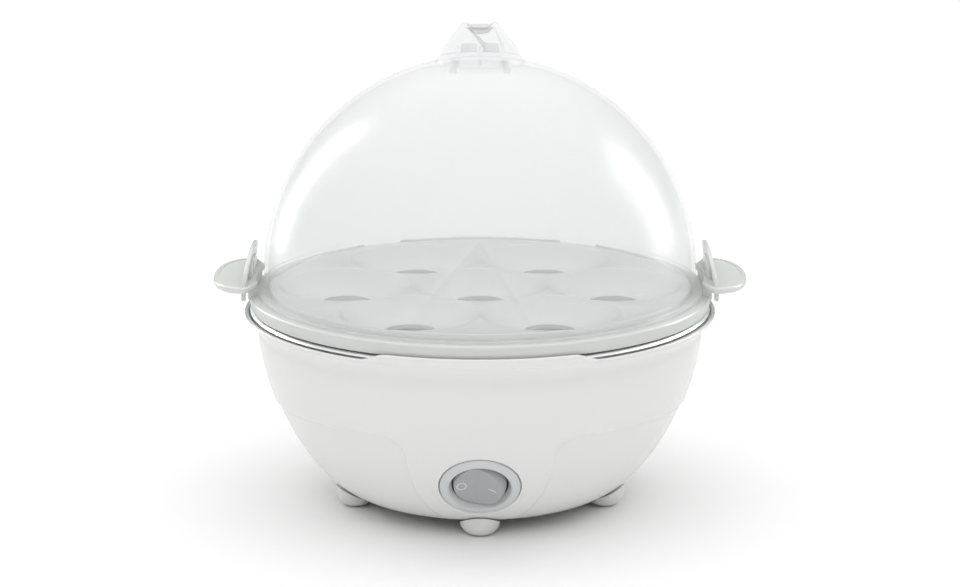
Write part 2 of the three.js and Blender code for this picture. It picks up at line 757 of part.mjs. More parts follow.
function wires() {
  const [lineX, lineY, lineZ] = switchTail(0);
  const [loadX, loadY, loadZ] = switchTail(1);
  const [leftX, leftY, leftZ] = coilPin(-1);
  const [rightX, rightY, rightZ] = coilPin(1);
  const pitch = blockWide / 3;
  const side = blockBack - blockDeep / 2 - wireRadius - gap;
  const bladeLow = plateBottom - gap - thermostatTall - bladeLong - gap - wireRadius;
  const mid = footHeight + coverThick + 9;
  return {
    wire_line: [redWire, [
      [pitch, side, mid], [pitch + 8, 0, mid], [12, -24, mid + 4], [lineX + 4, lineY + 6, lineZ - 9],
      [lineX, lineY, lineZ],
    ]],
    wire_switched: [redWire, [
      [loadX, loadY, loadZ], [loadX - 6, loadY + 8, loadZ - 11], [-10, -10, mid],
      [-13, 12, mid + 4], [-bladeSpread, thermostatCircle, bladeLow],
    ]],
    wire_element: [redWire, [
      [bladeSpread, thermostatCircle, bladeLow], [22, 14, bladeLow - 4], [27, -6, bladeLow - 5],
      [rightX + 7, rightY + 3, rightZ - 6], [rightX, rightY, rightZ - wireRadius - gap],
    ]],
    wire_neutral: [blueWire, [
      [-pitch, side, mid], [-20, 8, mid - 2], [-36, 2, mid + 2],
      [fusePlace[0] - fuseLong / 2 - 5, fusePlace[1], fusePlace[2] - 1],
      [fusePlace[0] - fuseLong / 2 - gap - wireRadius, fusePlace[1], fusePlace[2]],
    ]],
    wire_fuse: [blueWire, [
      [fusePlace[0] + fuseLong / 2 + gap + wireRadius, fusePlace[1], fusePlace[2]],
      [fusePlace[0] + fuseLong / 2 + 3, fusePlace[1] - 6, fusePlace[2] - 3],
      [leftX - 3, leftY + 8, leftZ - 7], [leftX, leftY, leftZ - wireRadius - gap],
    ]],
    wire_earth: [greenWire, [
      [0, side, mid - 1], [0, side - 5, mid], [0, tagReach - 2, nutTop - nutTall],
      [0, tagReach - 1, tagTop - tagThick - gap - wireRadius],
    ]],
  };
}

// ---- egg tray ---------------------------------------------------------------------------------
const upstandRadius = domeRadius - domeWall - gap - 0.1;

function trayRing() {
  const skirtFoot = trayFoot - traySkirt;
  return revolve([
    [0, trayTop - trayWall], [upstandRadius - 2.4, trayTop - trayWall], [upstandRadius - 2.4, skirtFoot],
    [upstandRadius - 1, skirtFoot], [upstandRadius - 0.6, trayRingTop - trayWall],
    [trayRadius - trayWall, trayRingTop - trayWall], [trayRadius - trayWall, trayFoot],
    [trayRadius - 0.2, trayFoot], [trayRadius, trayFoot + 1.5], [trayRadius, trayRingTop - 0.8],
    [trayRadius - 0.7, trayRingTop], [upstandRadius + 0.1, trayRingTop],
    [upstandRadius, trayRingTop + trayUpstand], [upstandRadius - 1.2, trayRingTop + trayUpstand],
    [upstandRadius - 1.4, trayTop], [0, trayTop],
  ]);
}

// A cup seen from the side: an arc from the plate down to the steam hole.
function seatCup(grow, high) {
  const section = [[0, trayTop - seatDepth - grow]];
  for (let row = 0; row <= seatRows; row += 1) {
    const share = row / seatRows;
    const radius = seatHole + (seatRadius + grow - seatHole) * share;
    section.push([radius, trayTop - (seatDepth + grow) * (1 - share ** 2)]);
  }
  section[section.length - 1][1] = trayTop;
  if (high > trayTop) section.push([seatRadius + grow, high]);
  section.push([0, high]);
  return revolve(section, seatSides);
}

function seatSpots() {
  const spots = [[0, 0]];
  for (let i = 0; i < seatCount; i += 1) {
    const angle = radians(-90 + (i + 0.5) * (360 / seatCount));
    spots.push([seatCircle * Math.cos(angle), seatCircle * Math.sin(angle)]);
  }
  return spots;
}

function halfEllipse(half, tall, low, steps = 12, power = 0.8) {
  const points = [];
  for (let i = 0; i <= steps; i += 1) {
    const angle = Math.PI * (i / steps);
    const across = Math.sign(Math.cos(angle)) * Math.abs(Math.cos(angle)) ** power;
    points.push([half * across, low + tall * Math.sin(angle) ** power]);
  }
  return points;
}

// An upright arch across the handle, standing on the handle plate; `lean` tips it to the dome.
function guard(half, tall, out, lean) {
  const arch = standing(halfEllipse(half, tall, 0), guardThick);
  const upright = new THREE.Matrix4().makeRotationZ(Math.PI / 2);
  const tip = new THREE.Matrix4().makeShear(0, 0, 0, 0, -lean / tall, 0);
  return moved(placed(placed(arch, upright), tip), out, 0, wingPlane - wingThick / 2 + bite);
}

// One side handle at +X: a half-oval plate, its neck to the ring, two guards and two short legs.
function wing() {
  const inner = domeFootRadius + gap;
  const outline = halfEllipse(wingHalf, wingTip - guardRadius, guardRadius, 16, 0.9);
  const plateOutline = outline.map(([y, x]) => [x, -y]);
  plateOutline.push([guardRadius - guardThick, wingHalf], [inner - 2, neckHalf + 2]);
  plateOutline.push([inner - 2, -neckHalf - 2], [guardRadius - guardThick, -wingHalf]);
  const low = wingPlane - wingThick / 2;
  let solid = lying(plateOutline, wingThick, low);
  solid = solid.add(guard(wingHalf - 1.2, guardTall, guardRadius, guardLean));
  solid = solid.add(guard(innerGuardHalf, innerGuardTall, inner + guardThick, 0));
  const neckLow = trayRingTop - trayWall;
  const neckOut = trayRadius - inner;
  solid = solid.add(block(neckOut, 2 * neckHalf, low + bite - neckLow, inner + neckOut / 2, 0, neckLow));
  for (const side of [-1, 1]) {
    const leg = block(guardThick, legWide, legLong + bite, guardRadius, side * legOffset, low - legLong);
    solid = solid.add(leg);
  }
  return solid.subtract(disc(inner, trayRingTop, wingPlane + 2 * guardTall, ringSides));
}

function eggTray() {
  let tray = trayRing();
  let hollows = null;
  for (const [x, y] of seatSpots()) {
    tray = tray.add(moved(seatCup(trayWall, trayTop), x, y, 0));
    const hollow = moved(seatCup(0, trayTop + trayWall), x, y, 0)
      .add(moved(disc(seatHole, trayFoot - seatDepth, trayTop), x, y, 0));
    hollows = hollows ? hollows.add(hollow) : hollow;
  }
  const handle = wing();
  return tray.subtract(hollows).add(handle).add(turned(handle, 180));
}

// ---- lid --------------------------------------------------------------------------------------
function domeArc(radius, steps) {
  return Array.from({ length: steps + 1 }, (_, i) => {
    const angle = (Math.PI / 2) * (i / steps);
    return [radius * Math.cos(angle), domeCentre + radius * Math.sin(angle)];
  });
}

function domeLid() {
  const inner = domeRadius - domeWall;
  const outside = domeArc(domeRadius, domeRows);
  const inside = domeArc(inner, domeRows).reverse();
  outside[outside.length - 1][0] = 0;
  inside[0][0] = 0;
  const shell = revolve([
    ...inside, [inner, domeFoot], [domeFootRadius, domeFoot],
    [domeFootRadius, domeFoot + domeFootTall - 0.5], [domeFootRadius - 0.6, domeFoot + domeFootTall],
    [domeRadius, domeFoot + domeFootTall + 0.3], ...outside,
  ]);
  let slots = null;
  for (const side of [-1, 1]) {
    const slot = block(hookThick + 2 * ventRoom, hookWide + 2 * ventRoom, 2 * hookLong);
    const through = moved(slot, side * hookSpread, 0, domeTop - 1.5 * hookLong);
    slots = slots ? slots.add(through) : through;
  }
  return shell.subtract(slots);
}

function gripOutline() {
  const rise = domeTop - 1.2;
  const flank = [[0.92, 0.14], [0.79, 0.39], [0.67, 0.57], [0.55, 0.77]];
  const right = [
    [gripHalf, rise], ...flank.map(([out, up]) => [gripHalf * out, domeTop + gripTall * up]),
    [gripHorn + 1, domeTop + gripTall * 0.95], [gripHorn, domeTop + gripTall],
    [gripHorn - 1.2, domeTop + gripTall - 0.5], [gripHorn * 0.45, domeTop + gripTall - gripValley * 0.85],
    [0, domeTop + gripTall - gripValley],
  ];
  const left = right.slice(0, -1).reverse().map(([x, z]) => [-x, z]);
  return [...right, ...left];
}

function hook(side) {
  const high = domeTop + 0.5;
  const leg = block(hookThick, hookWide, hookLong, side * hookSpread, 0, high - hookLong);
  const barb = block(hookBarb + hookThick, hookWide, hookBarb);
  return leg.add(moved(barb, side * (hookSpread + hookBarb / 2), 0, high - hookLong));
}

function lidHandle() {
  const skin = domeRadius + gap;
  const edge = Math.sqrt(skin * skin - gripBase * gripBase);
  const middle = Math.sqrt(skin * skin - (gripBase / 2) ** 2);
  let solid = revolve([
    [0, domeCentre + skin], [gripBase / 2, domeCentre + middle], [gripBase, domeCentre + edge],
    [gripBase, domeCentre + edge + gripBaseThick * 0.7],
    [gripBase / 2, domeCentre + middle + gripBaseThick], [0, domeCentre + skin + gripBaseThick],
  ], 40);
  let upright = standing(gripOutline(), 2 * gripDeep);
  for (const x of [-gussetSpread, 0, gussetSpread]) {
    for (const side of [-1, 1]) {
      const rib = standing([[0, domeTop - 2], [gussetReach, domeTop - 2], [gussetReach, domeTop],
        [gripDeep, domeTop + gussetTall], [0, domeTop + gussetTall]], gussetThick);
      const turnedRib = turned(rib, side * 90);
      upright = upright.add(moved(turnedRib, x, 0, 0));
    }
  }
  const ball = toSolid(new THREE.SphereGeometry(skin, ringSides, 36).rotateX(Math.PI / 2));
  solid = solid.add(upright.subtract(moved(ball, 0, 0, domeCentre)));
  for (const side of [-1, 1]) solid = solid.add(hook(side));
  return solid;
}

// ---- assembly ---------------------------------------------------------------------------------
const cooker = new THREE.Group();

cooker.add(piece("base_housing", housing(), whitePlastic));
cooker.add(piece("bottom_cover", bottomCover(), palePlastic));
for (let i = 0; i < coverScrews; i += 1) {
  cooker.add(piece(`cover_screw_${i + 1}`, coverScrew(i), zincSteel));
}
for (let i = 0; i < footCount; i += 1) cooker.add(piece(`foot_${i + 1}`, foot(i), whitePlastic));
cooker.add(piece("heating_dish", heatingDish(), steel));
cooker.add(piece("dish_seal", dishSeal(), silicone));
cooker.add(piece("heating_plate", heatingPlate(), aluminium));
cooker.add(piece("heating_coil", heatingCoil(), zincSteel));
cooker.add(piece("heat_shield", heatShield(), zincSteel));
cooker.add(piece("thermostat", thermostat(), ceramic));
cooker.add(piece("thermal_fuse", thermalFuse(), ceramic));
cooker.add(piece("clamp_bar", clampBar(), zincSteel));
cooker.add(piece("clamp_washer", clampWasher(), zincSteel));
cooker.add(piece("earth_tag", earthTag(), brass));
cooker.add(piece("clamp_nut", clampNut(), zincSteel));
cooker.add(piece("cord_gland", placed(cordGland(), glandPlace), rubber));
cooker.add(piece("terminal_block", terminalBlock(), ceramic));
for (const [name, [material, points]] of Object.entries(wires())) {
  cooker.add(piece(name, wire(points), material));
}

const switchGroup = new THREE.Group();
switchGroup.applyMatrix4(switchPlace);
switchGroup.add(piece("switch_bezel", switchBezel(), ringPlastic));
switchGroup.add(piece("switch_barrel", switchBarrel(), darkPlastic));
["common", "load"].forEach((name, i) => {
  switchGroup.add(piece(`switch_terminal_${name}`, switchTerminal(i), brass));
});
const rockerGroup = new THREE.Group();
rockerGroup.position.z = pivotLevel;
rockerGroup.rotation.y = -radians(rockerTurn / 2);
rockerGroup.add(piece("rocker", rocker(), greyPlastic));
rockerGroup.add(piece("rocker_spring", rockerSpring(), zincSteel));
const arm = piece("contact_arm", contactArm(), brass);
arm.position.z = armTop - armThick / 2;
arm.rotation.y = radians(armTurn / 2);
switchGroup.add(rockerGroup, arm);
cooker.add(switchGroup);

cooker.add(piece("egg_tray", eggTray(), milkPlastic));
cooker.add(piece("dome_lid", domeLid(), clearPlastic));
cooker.add(piece("lid_handle", lidHandle(), clearPlastic));

export default cooker;
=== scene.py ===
"""An electric egg cooker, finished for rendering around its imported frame.

The cooker is a white bowl-shaped base with a steel water dish and a round rocker switch, a milky egg
tray with a handle on each side, and a clear dome lid with a moulded grip. Each sub-assembly is a
class that holds its sizes in millimetres and builds its own pieces; each finish is a frozen dataclass.
+Z is up, the switch faces -Y and the origin is on the table under the middle of the cooker.
"""

import logging
import math
from dataclasses import dataclass, field
from enum import Enum

import bmesh
import bpy
from mathutils import Matrix, Vector
from mathutils.kdtree import KDTree


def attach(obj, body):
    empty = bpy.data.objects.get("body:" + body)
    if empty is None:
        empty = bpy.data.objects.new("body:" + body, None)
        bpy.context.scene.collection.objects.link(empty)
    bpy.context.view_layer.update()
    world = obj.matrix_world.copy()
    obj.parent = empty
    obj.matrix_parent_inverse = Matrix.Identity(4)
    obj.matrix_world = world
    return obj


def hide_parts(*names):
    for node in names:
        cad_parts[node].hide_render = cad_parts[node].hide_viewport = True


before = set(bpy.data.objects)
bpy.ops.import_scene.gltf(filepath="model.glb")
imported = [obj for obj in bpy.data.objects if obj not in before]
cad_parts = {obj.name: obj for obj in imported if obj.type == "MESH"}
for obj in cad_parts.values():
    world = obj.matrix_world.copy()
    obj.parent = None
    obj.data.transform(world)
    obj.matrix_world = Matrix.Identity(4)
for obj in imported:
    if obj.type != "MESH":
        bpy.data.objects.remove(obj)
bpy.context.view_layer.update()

log = logging.getLogger("egg_cooker")

MM = 0.001
GAP = 0.3  # between pieces that rest on or in each other
SHARP_TURN = math.radians(38)  # edges that turn by more stay crisp
LEAST_HALF_TURN = 0.05  # a sharper corner is rounded as if it turned by this
FILLET_SHARE = 0.48  # the most of a side that one fillet takes
NOISE_RANGE = (0.3, 0.7)  # where most of a noise lies
FINE_DETAIL = 2.0  # octaves of a fine noise
BROAD_DETAIL = 3.0  # octaves of a broad one

Point = tuple[float, float]
Corner = tuple[float, float, float]
Spot = tuple[float, float, float]
Color = tuple[float, float, float]


class Join(Enum):
    """The three ways of putting one solid together with another."""

    ADD = "UNION"
    CUT = "DIFFERENCE"
    KEEP = "INTERSECT"


class Body(Enum):
    """The cooker's rigid bodies, as its frame names them."""

    BASE = "base"
    ROCKER = "rocker"
    TRAY = "egg_tray"
    LID = "lid"


class Line(Enum):
    """Whether an outline runs from end to end or closes on itself."""

    OPEN = "open"
    CLOSED = "closed"


# ---- shaping -------------------------------------------------------------------------------------
def rounded(corners: list[Corner], line: Line = Line.OPEN, steps: int = 6) -> list[Point]:
    """Rounds the corners of a flat line.

    Args:
        corners: points (x, y, fillet radius) in order.
        line: whether the last point joins the first.
        steps: pieces in each fillet.

    Returns:
        The points of the rounded line.
    """
    count = len(corners)
    points: list[Point] = []
    for i, (x, y, radius) in enumerate(corners):
        here = Vector((x, y))
        if radius <= 0 or (line is Line.OPEN and i in (0, count - 1)):
            points.append((x, y))
            continue
        before = Vector(corners[i - 1][:2]) - here
        after = Vector(corners[(i + 1) % count][:2]) - here
        half = max(before.angle(after) / 2, LEAST_HALF_TURN)
        reach = min(radius / math.tan(half), FILLET_SHARE * before.length, FILLET_SHARE * after.length)
        start = here + before.normalized() * reach
        end = here + after.normalized() * reach
        for step in range(steps + 1):
            t = step / steps
            bend = start * (1 - t) ** 2 + here * (2 * t * (1 - t)) + end * t * t
            points.append((bend.x, bend.y))
    return points


def arc(radius: float, centre: Point, first: float, last: float, steps: int) -> list[Point]:
    """Points on a circular arc.

    Args:
        radius: radius of the arc.
        centre: its centre.
        first: angle of the first point in degrees.
        last: angle of the last point in degrees.
        steps: pieces in the arc.

    Returns:
        The arc's points, both ends included.
    """
    turns = [math.radians(first + (last - first) * i / steps) for i in range(steps + 1)]
    return [(centre[0] + radius * math.cos(a), centre[1] + radius * math.sin(a)) for a in turns]


def box(left: float, right: float, near: float, far: float) -> list[Point]:
    """The corners of an upright rectangle, anticlockwise from the lower left one."""
    return [(left, near), (right, near), (right, far), (left, far)]


def solid(name: str, points: list[Spot], faces: list[tuple[int, ...]]) -> bpy.types.Object:
    """Makes a mesh object from points in millimetres.

    Args:
        name: name of the piece.
        points: its corners.
        faces: its faces as corner numbers.

    Returns:
        The new object, linked into the scene.
    """
    mesh = bpy.data.meshes.new(name)
    mesh.from_pydata([(x * MM, y * MM, z * MM) for x, y, z in points], [], faces)
    mesh.update()
    made = bpy.data.objects.new(name, mesh)
    bpy.context.scene.collection.objects.link(made)
    return made


def loft(name: str, sections: list[list[Point]], turns: list[float]) -> bpy.types.Object:
    """Joins closed half sections, each at its own angle round Z, into a ring.

    Args:
        name: name of the piece.
        sections: one list of (radius, height) per angle, anticlockwise.
        turns: the angles in radians from the front, increasing.

    Returns:
        The closed ring.
    """
    rows, sides = len(sections[0]), len(sections)
    points = [
        (r * math.sin(turn), -r * math.cos(turn), z)
        for section, turn in zip(sections, turns)
        for r, z in section
    ]
    faces = []
    for i in range(sides):
        a, b = i * rows, ((i + 1) % sides) * rows
        faces += [(a + j, b + j, b + (j + 1) % rows, a + (j + 1) % rows) for j in range(rows)]
    return solid(name, points, faces)


def lathe(name: str, section: list[Point], sides: int = 192) -> bpy.types.Object:
    """Turns a half section about Z into a closed solid.

    Args:
        name: name of the piece.
        section: (radius, height) points anticlockwise, either closing on themselves or running from
            the axis back to the axis.
        sides: facets round the axis.

    Returns:
        The turned solid.
    """
    turns = [2 * math.pi * i / sides for i in range(sides)]
    if section[0][0] > 0:
        return loft(name, [section] * sides, turns)
    line = section[1:-1]
    rows = len(line)
    points = [(r * math.sin(a), -r * math.cos(a), z) for a in turns for r, z in line]
    low, high = len(points), len(points) + 1
    points += [(0.0, 0.0, section[0][1]), (0.0, 0.0, section[-1][1])]
    faces: list[tuple[int, ...]] = []
    for i in range(sides):
        a, b = i * rows, ((i + 1) % sides) * rows
        faces += [(a + j, b + j, b + j + 1, a + j + 1) for j in range(rows - 1)]
        faces += [(low, b, a), (high, a + rows - 1, b + rows - 1)]
    return solid(name, points, faces)


def slab(name: str, outline: list[Point], low: float, high: float, edge: float = 0.0) -> bpy.types.Object:
    """Gives a flat outline in X and Y a thickness along Z.

    Args:
        name: name of the piece.
        outline: the outline's points in order.
        low: height of its lower face.
        high: height of its upper face.
        edge: rounding of the edges of both faces.

    Returns:
        The slab.
    """
    count = len(outline)
    points = [(x, y, z) for z in (low, high) for x, y in outline]
    faces: list[tuple[int, ...]] = [tuple(reversed(range(count))), tuple(range(count, 2 * count))]
    faces += [(i, (i + 1) % count, count + (i + 1) % count, count + i) for i in range(count)]
    made = solid(name, points, faces)
    outward(made)
    if edge > 0:
        soften(made, edge)
    return made


def outward(obj: bpy.types.Object) -> None:
    """Turns every face of a closed piece outwards.

    Args:
        obj: the piece.
    """
    shape = bmesh.new()
    shape.from_mesh(obj.data)
    bmesh.ops.recalc_face_normals(shape, faces=shape.faces)
    shape.to_mesh(obj.data)
    shape.free()


def settle(obj: bpy.types.Object) -> None:
    """Turns a piece's modifiers into plain mesh.

    Args:
        obj: the piece.
    """
    graph = bpy.context.evaluated_depsgraph_get()
    shaped = bpy.data.meshes.new_from_object(obj.evaluated_get(graph))
    obj.modifiers.clear()
    obj.data = shaped


def soften(obj: bpy.types.Object, radius: float, segments: int = 3, turn: float = 35.0) -> None:
    """Rounds a piece's sharp edges.

    Args:
        obj: the piece.
        radius: rounding in millimetres.
        segments: facets across each rounding.
        turn: only edges that turn by more than this many degrees are rounded.
    """
    bevel = obj.modifiers.new("soften", "BEVEL")
    bevel.width = radius * MM
    bevel.segments = segments
    bevel.limit_method = "ANGLE"
    bevel.angle_limit = math.radians(turn)
    settle(obj)


def joined(base: bpy.types.Object, tool: bpy.types.Object, way: Join) -> bpy.types.Object:
    """Puts a second solid together with a first one, and removes the second.

    Args:
        base: the solid that is kept.
        tool: the solid that is added to it, cut from it or kept in common with it.
        way: which of the three.

    Returns:
        The first solid, changed.
    """
    change = base.modifiers.new("joined", "BOOLEAN")
    change.operation = way.value
    change.solver = "MANIFOLD"
    change.object = tool
    settle(base)
    bpy.data.objects.remove(tool, do_unlink=True)
    return base


def placed(obj: bpy.types.Object, matrix: Matrix) -> bpy.types.Object:
    """Moves a piece's mesh by a matrix whose lengths are millimetres.

    Args:
        obj: the piece.
        matrix: where its own axes go.

    Returns:
        The same piece.
    """
    metric = matrix.copy()
    metric.translation = matrix.translation * MM
    obj.data.transform(metric)
    return obj


def at(x: float, y: float, z: float = 0.0) -> Matrix:
    """A shift in millimetres."""
    return Matrix.Translation((x, y, z))


def spun(degrees: float) -> Matrix:
    """A turn about Z."""
    return Matrix.Rotation(math.radians(degrees), 4, "Z")


def oval(half: float, tall: float, steps: int = 48, power: float = 0.9) -> list[Point]:
    """The upper half of a full, slightly squared oval, from right to left.

    Args:
        half: half of its width.
        tall: its height.
        steps: pieces in the curve.
        power: under 1 squares the curve.

    Returns:
        The curve's points.
    """
    points = []
    for i in range(steps + 1):
        angle = math.pi * i / steps
        across = math.copysign(abs(math.cos(angle)) ** power, math.cos(angle))
        points.append((half * across, tall * math.sin(angle) ** power))
    return points


# ---- finishes ------------------------------------------------------------------------------------
class Net:
    """A material's nodes, with short ways to add and join them."""

    def __init__(self, name: str) -> None:
        """Starts a material of this name with a Principled shader."""
        self.material = bpy.data.materials.new(name)
        self.material.use_nodes = True
        self.tree = self.material.node_tree
        self.shader = self.tree.nodes["Principled BSDF"]
        self.output = self.tree.nodes["Material Output"]

    def node(self, kind: str, **settings: object) -> bpy.types.Node:
        """Adds a node.

        Args:
            kind: Blender's name of the node.
            settings: properties, and inputs by name with _ for a space.

        Returns:
            The node.
        """
        made = self.tree.nodes.new(kind)
        for key, value in settings.items():
            label = key.replace("_", " ")
            if label in made.inputs:
                made.inputs[label].default_value = value
            else:
                setattr(made, key, value)
        return made

    def link(self, source: bpy.types.NodeSocket, target: bpy.types.NodeSocket) -> None:
        """Joins two sockets."""
        self.tree.links.new(source, target)

    def position(self) -> bpy.types.NodeSocket:
        """The point on the piece, in metres in the part's frame."""
        return self.node("ShaderNodeTexCoord").outputs["Object"]

    def ringed(self, stretch: float) -> bpy.types.NodeSocket:
        """Coordinates that run in rings about Z, for turned and spun metal.

        Args:
            stretch: how much slower the pattern changes round the rings than across them.

        Returns:
            The coordinates.
        """
        apart = self.node("ShaderNodeSeparateXYZ")
        self.link(self.position(), apart.inputs[0])
        total = self.node("ShaderNodeMath", operation="ADD")
        for number, axis in enumerate("XY"):
            square = self.node("ShaderNodeMath", operation="POWER")
            square.inputs[1].default_value = 2.0
            self.link(apart.outputs[axis], square.inputs[0])
            self.link(square.outputs[0], total.inputs[number])
        radius = self.node("ShaderNodeMath", operation="SQRT")
        self.link(total.outputs[0], radius.inputs[0])
        turn = self.node("ShaderNodeMath", operation="ARCTAN2")
        self.link(apart.outputs["Y"], turn.inputs[0])
        self.link(apart.outputs["X"], turn.inputs[1])
        slow = self.node("ShaderNodeMath", operation="MULTIPLY")
        slow.inputs[1].default_value = stretch
        self.link(turn.outputs[0], slow.inputs[0])
        together = self.node("ShaderNodeCombineXYZ")
        self.link(radius.outputs[0], together.inputs[0])
        self.link(slow.outputs[0], together.inputs[1])
        self.link(apart.outputs["Z"], together.inputs[2])
        return together.outputs[0]

    def noise(self, size: float, detail: float, where: bpy.types.NodeSocket) -> bpy.types.NodeSocket:
        """A noise of a given grain.

        Args:
            size: size of its grains in millimetres.
            detail: how many finer octaves it has.
            where: the coordinates it reads.

        Returns:
            The noise's value.
        """
        pattern = self.node("ShaderNodeTexNoise", Scale=1 / (size * MM), Detail=detail)
        self.link(where, pattern.inputs["Vector"])
        return pattern.outputs["Fac"]

    def spread(self, value: bpy.types.NodeSocket, low: float, high: float) -> bpy.types.NodeSocket:
        """Maps a noise to a range.

        Args:
            value: the noise.
            low: the range's lower end.
            high: its upper end.

        Returns:
            The mapped value.
        """
        ranged = self.node("ShaderNodeMapRange")
        for label, number in zip(("From Min", "From Max", "To Min", "To Max"), (*NOISE_RANGE, low, high)):
            ranged.inputs[label].default_value = number
        self.link(value, ranged.inputs["Value"])
        return ranged.outputs["Result"]

    def tint(self, value: bpy.types.NodeSocket, color: Color, share: float) -> None:
        """Varies the base colour a little either side of a colour.

        Args:
            value: the noise that varies it.
            color: the middle colour.
            share: how far it goes either side.
        """
        ramp = self.node("ShaderNodeValToRGB")
        for stop, position, side in zip(ramp.color_ramp.elements, NOISE_RANGE, (-1, 1)):
            stop.position = position
            stop.color = (*[min(c * (1 + side * share), 1.0) for c in color], 1.0)
        self.link(value, ramp.inputs[0])
        self.link(ramp.outputs[0], self.shader.inputs["Base Color"])

    def bump(self, value: bpy.types.NodeSocket, height: float) -> None:
        """Raises the surface by a noise.

        Args:
            value: the noise.
            height: its height in millimetres.
        """
        raised = self.node("ShaderNodeBump", Strength=1.0, Distance=height * MM)
        self.link(value, raised.inputs["Height"])
        self.link(raised.outputs[0], self.shader.inputs["Normal"])


@dataclass(frozen=True)
class Finish:
    """What every finish of the cooker has."""

    name: str
    color: Color
    roughness: float
    grain: float = 0.004
    grain_size: float = 0.6
    mottle: float = 0.02
    mottle_size: float = 9.0
    slack: float = 0.04

    def shade(self, net: Net) -> None:
        """Sets what only this kind of finish has."""

    def where(self, net: Net) -> bpy.types.NodeSocket:
        """The coordinates that the finish's patterns read."""
        return net.position()

    def material(self) -> bpy.types.Material:
        """The finish as a material, made on first use.

        Returns:
            The material.
        """
        known = bpy.data.materials.get(self.name)
        if known is not None:
            return known
        net = Net(self.name)
        where = self.where(net)
        fine = net.noise(self.grain_size, FINE_DETAIL, where)
        broad = net.noise(self.mottle_size, BROAD_DETAIL, where)
        net.tint(broad, self.color, self.mottle)
        low, high = max(self.roughness - self.slack, 0.01), self.roughness + self.slack
        net.link(net.spread(broad, low, high), net.shader.inputs["Roughness"])
        net.bump(fine, self.grain)
        self.shade(net)
        return net.material


@dataclass(frozen=True)
class MouldedPlastic(Finish):
    """Opaque moulded plastic, with the soft look that light entering its skin gives."""

    depth: float = 0.08
    scatter: float = 1.5
    scatter_reach: Color = (1.0, 0.95, 0.9)

    def shade(self, net: Net) -> None:
        """Adds the plastic's soft depth."""
        net.shader.inputs["Subsurface Weight"].default_value = self.depth
        net.shader.inputs["Subsurface Scale"].default_value = self.scatter * MM
        net.shader.inputs["Subsurface Radius"].default_value = self.scatter_reach


@dataclass(frozen=True)
class MilkyPlastic(Finish):
    """Translucent plastic that lets light through without showing what is behind it."""

    through: float = 0.3
    ior: float = 1.48
    depth: float = 0.25
    scatter: float = 3.0
    scatter_reach: Color = (0.9, 1.0, 0.92)

    def shade(self, net: Net) -> None:
        """Lets part of the light through and scatters the rest."""
        net.shader.inputs["Transmission Weight"].default_value = self.through
        net.shader.inputs["IOR"].default_value = self.ior
        net.shader.inputs["Subsurface Weight"].default_value = self.depth
        net.shader.inputs["Subsurface Scale"].default_value = self.scatter * MM
        net.shader.inputs["Subsurface Radius"].default_value = self.scatter_reach


@dataclass(frozen=True)
class ClearPlastic(Finish):
    """Clear polished plastic: it bends what is seen through it and lets lamps through."""

    ior: float = 1.46

    def shade(self, net: Net) -> None:
        """Makes the plastic clear, and unseen by the lamps' light."""
        net.shader.inputs["Transmission Weight"].default_value = 1.0
        net.shader.inputs["IOR"].default_value = self.ior
        path = net.node("ShaderNodeLightPath")
        clear = net.node("ShaderNodeBsdfTransparent", Color=(*self.color, 1.0))
        either = net.node("ShaderNodeMixShader")
        net.link(path.outputs["Is Shadow Ray"], either.inputs["Fac"])
        net.link(net.shader.outputs[0], either.inputs[1])
        net.link(clear.outputs[0], either.inputs[2])
        net.link(either.outputs[0], net.output.inputs["Surface"])


@dataclass(frozen=True)
class PlainMetal(Finish):
    """Metal with the faint unevenness of plating, casting or stamping."""

    def shade(self, net: Net) -> None:
        """Makes the surface metallic."""
        net.shader.inputs["Metallic"].default_value = 1.0


@dataclass(frozen=True)
class SpunMetal(PlainMetal):
    """Sheet metal drawn on a lathe: its polishing marks run in rings."""

    stretch: float = 0.004

    def where(self, net: Net) -> bpy.types.NodeSocket:
        """Coordinates that run in rings."""
        return net.ringed(self.stretch)


WHITE = MouldedPlastic("white_plastic", (0.72, 0.72, 0.715), 0.22, grain=0.003, mottle=0.012)
PALE = MouldedPlastic("pale_plastic", (0.66, 0.66, 0.65), 0.42, grain=0.02, grain_size=0.5)
MILK = MilkyPlastic("milk_plastic", (0.88, 0.885, 0.855), 0.30, grain=0.002)
CLEAR = ClearPlastic("clear_plastic", (0.90, 0.905, 0.905), 0.02, grain=0.0006, grain_size=4.0, slack=0.01)
ROCKER_GREY = MouldedPlastic("rocker_plastic", (0.10, 0.10, 0.103), 0.38, grain=0.012, grain_size=0.25)
BEZEL_GREY = MouldedPlastic("bezel_plastic", (0.46, 0.47, 0.475), 0.28, grain=0.004, grain_size=0.4)
MARK_WHITE = MouldedPlastic("mark_ink", (0.78, 0.78, 0.77), 0.5, grain=0.004, grain_size=0.2)
DARK = MouldedPlastic("dark_plastic", (0.03, 0.03, 0.033), 0.5, grain=0.012, grain_size=0.3, depth=0.0)
RUBBER = MouldedPlastic("dark_rubber", (0.045, 0.045, 0.047), 0.72, grain=0.03, grain_size=0.5, depth=0.0)
SILICONE = MouldedPlastic("silicone", (0.62, 0.60, 0.54), 0.6, grain=0.01, grain_size=0.4)
STEEL = SpunMetal("polished_steel", (0.78, 0.785, 0.79), 0.12, grain=0.0012, grain_size=0.35, slack=0.05)
ZINC = PlainMetal("zinc_steel", (0.62, 0.64, 0.66), 0.36, grain=0.006, mottle=0.12, mottle_size=3.0)
CAST = PlainMetal("cast_aluminium", (0.60, 0.61, 0.62), 0.52, grain=0.05, grain_size=0.8, mottle=0.08)
BRASS = PlainMetal("brass", (0.72, 0.54, 0.24), 0.30, grain=0.004, mottle=0.10, mottle_size=2.5)
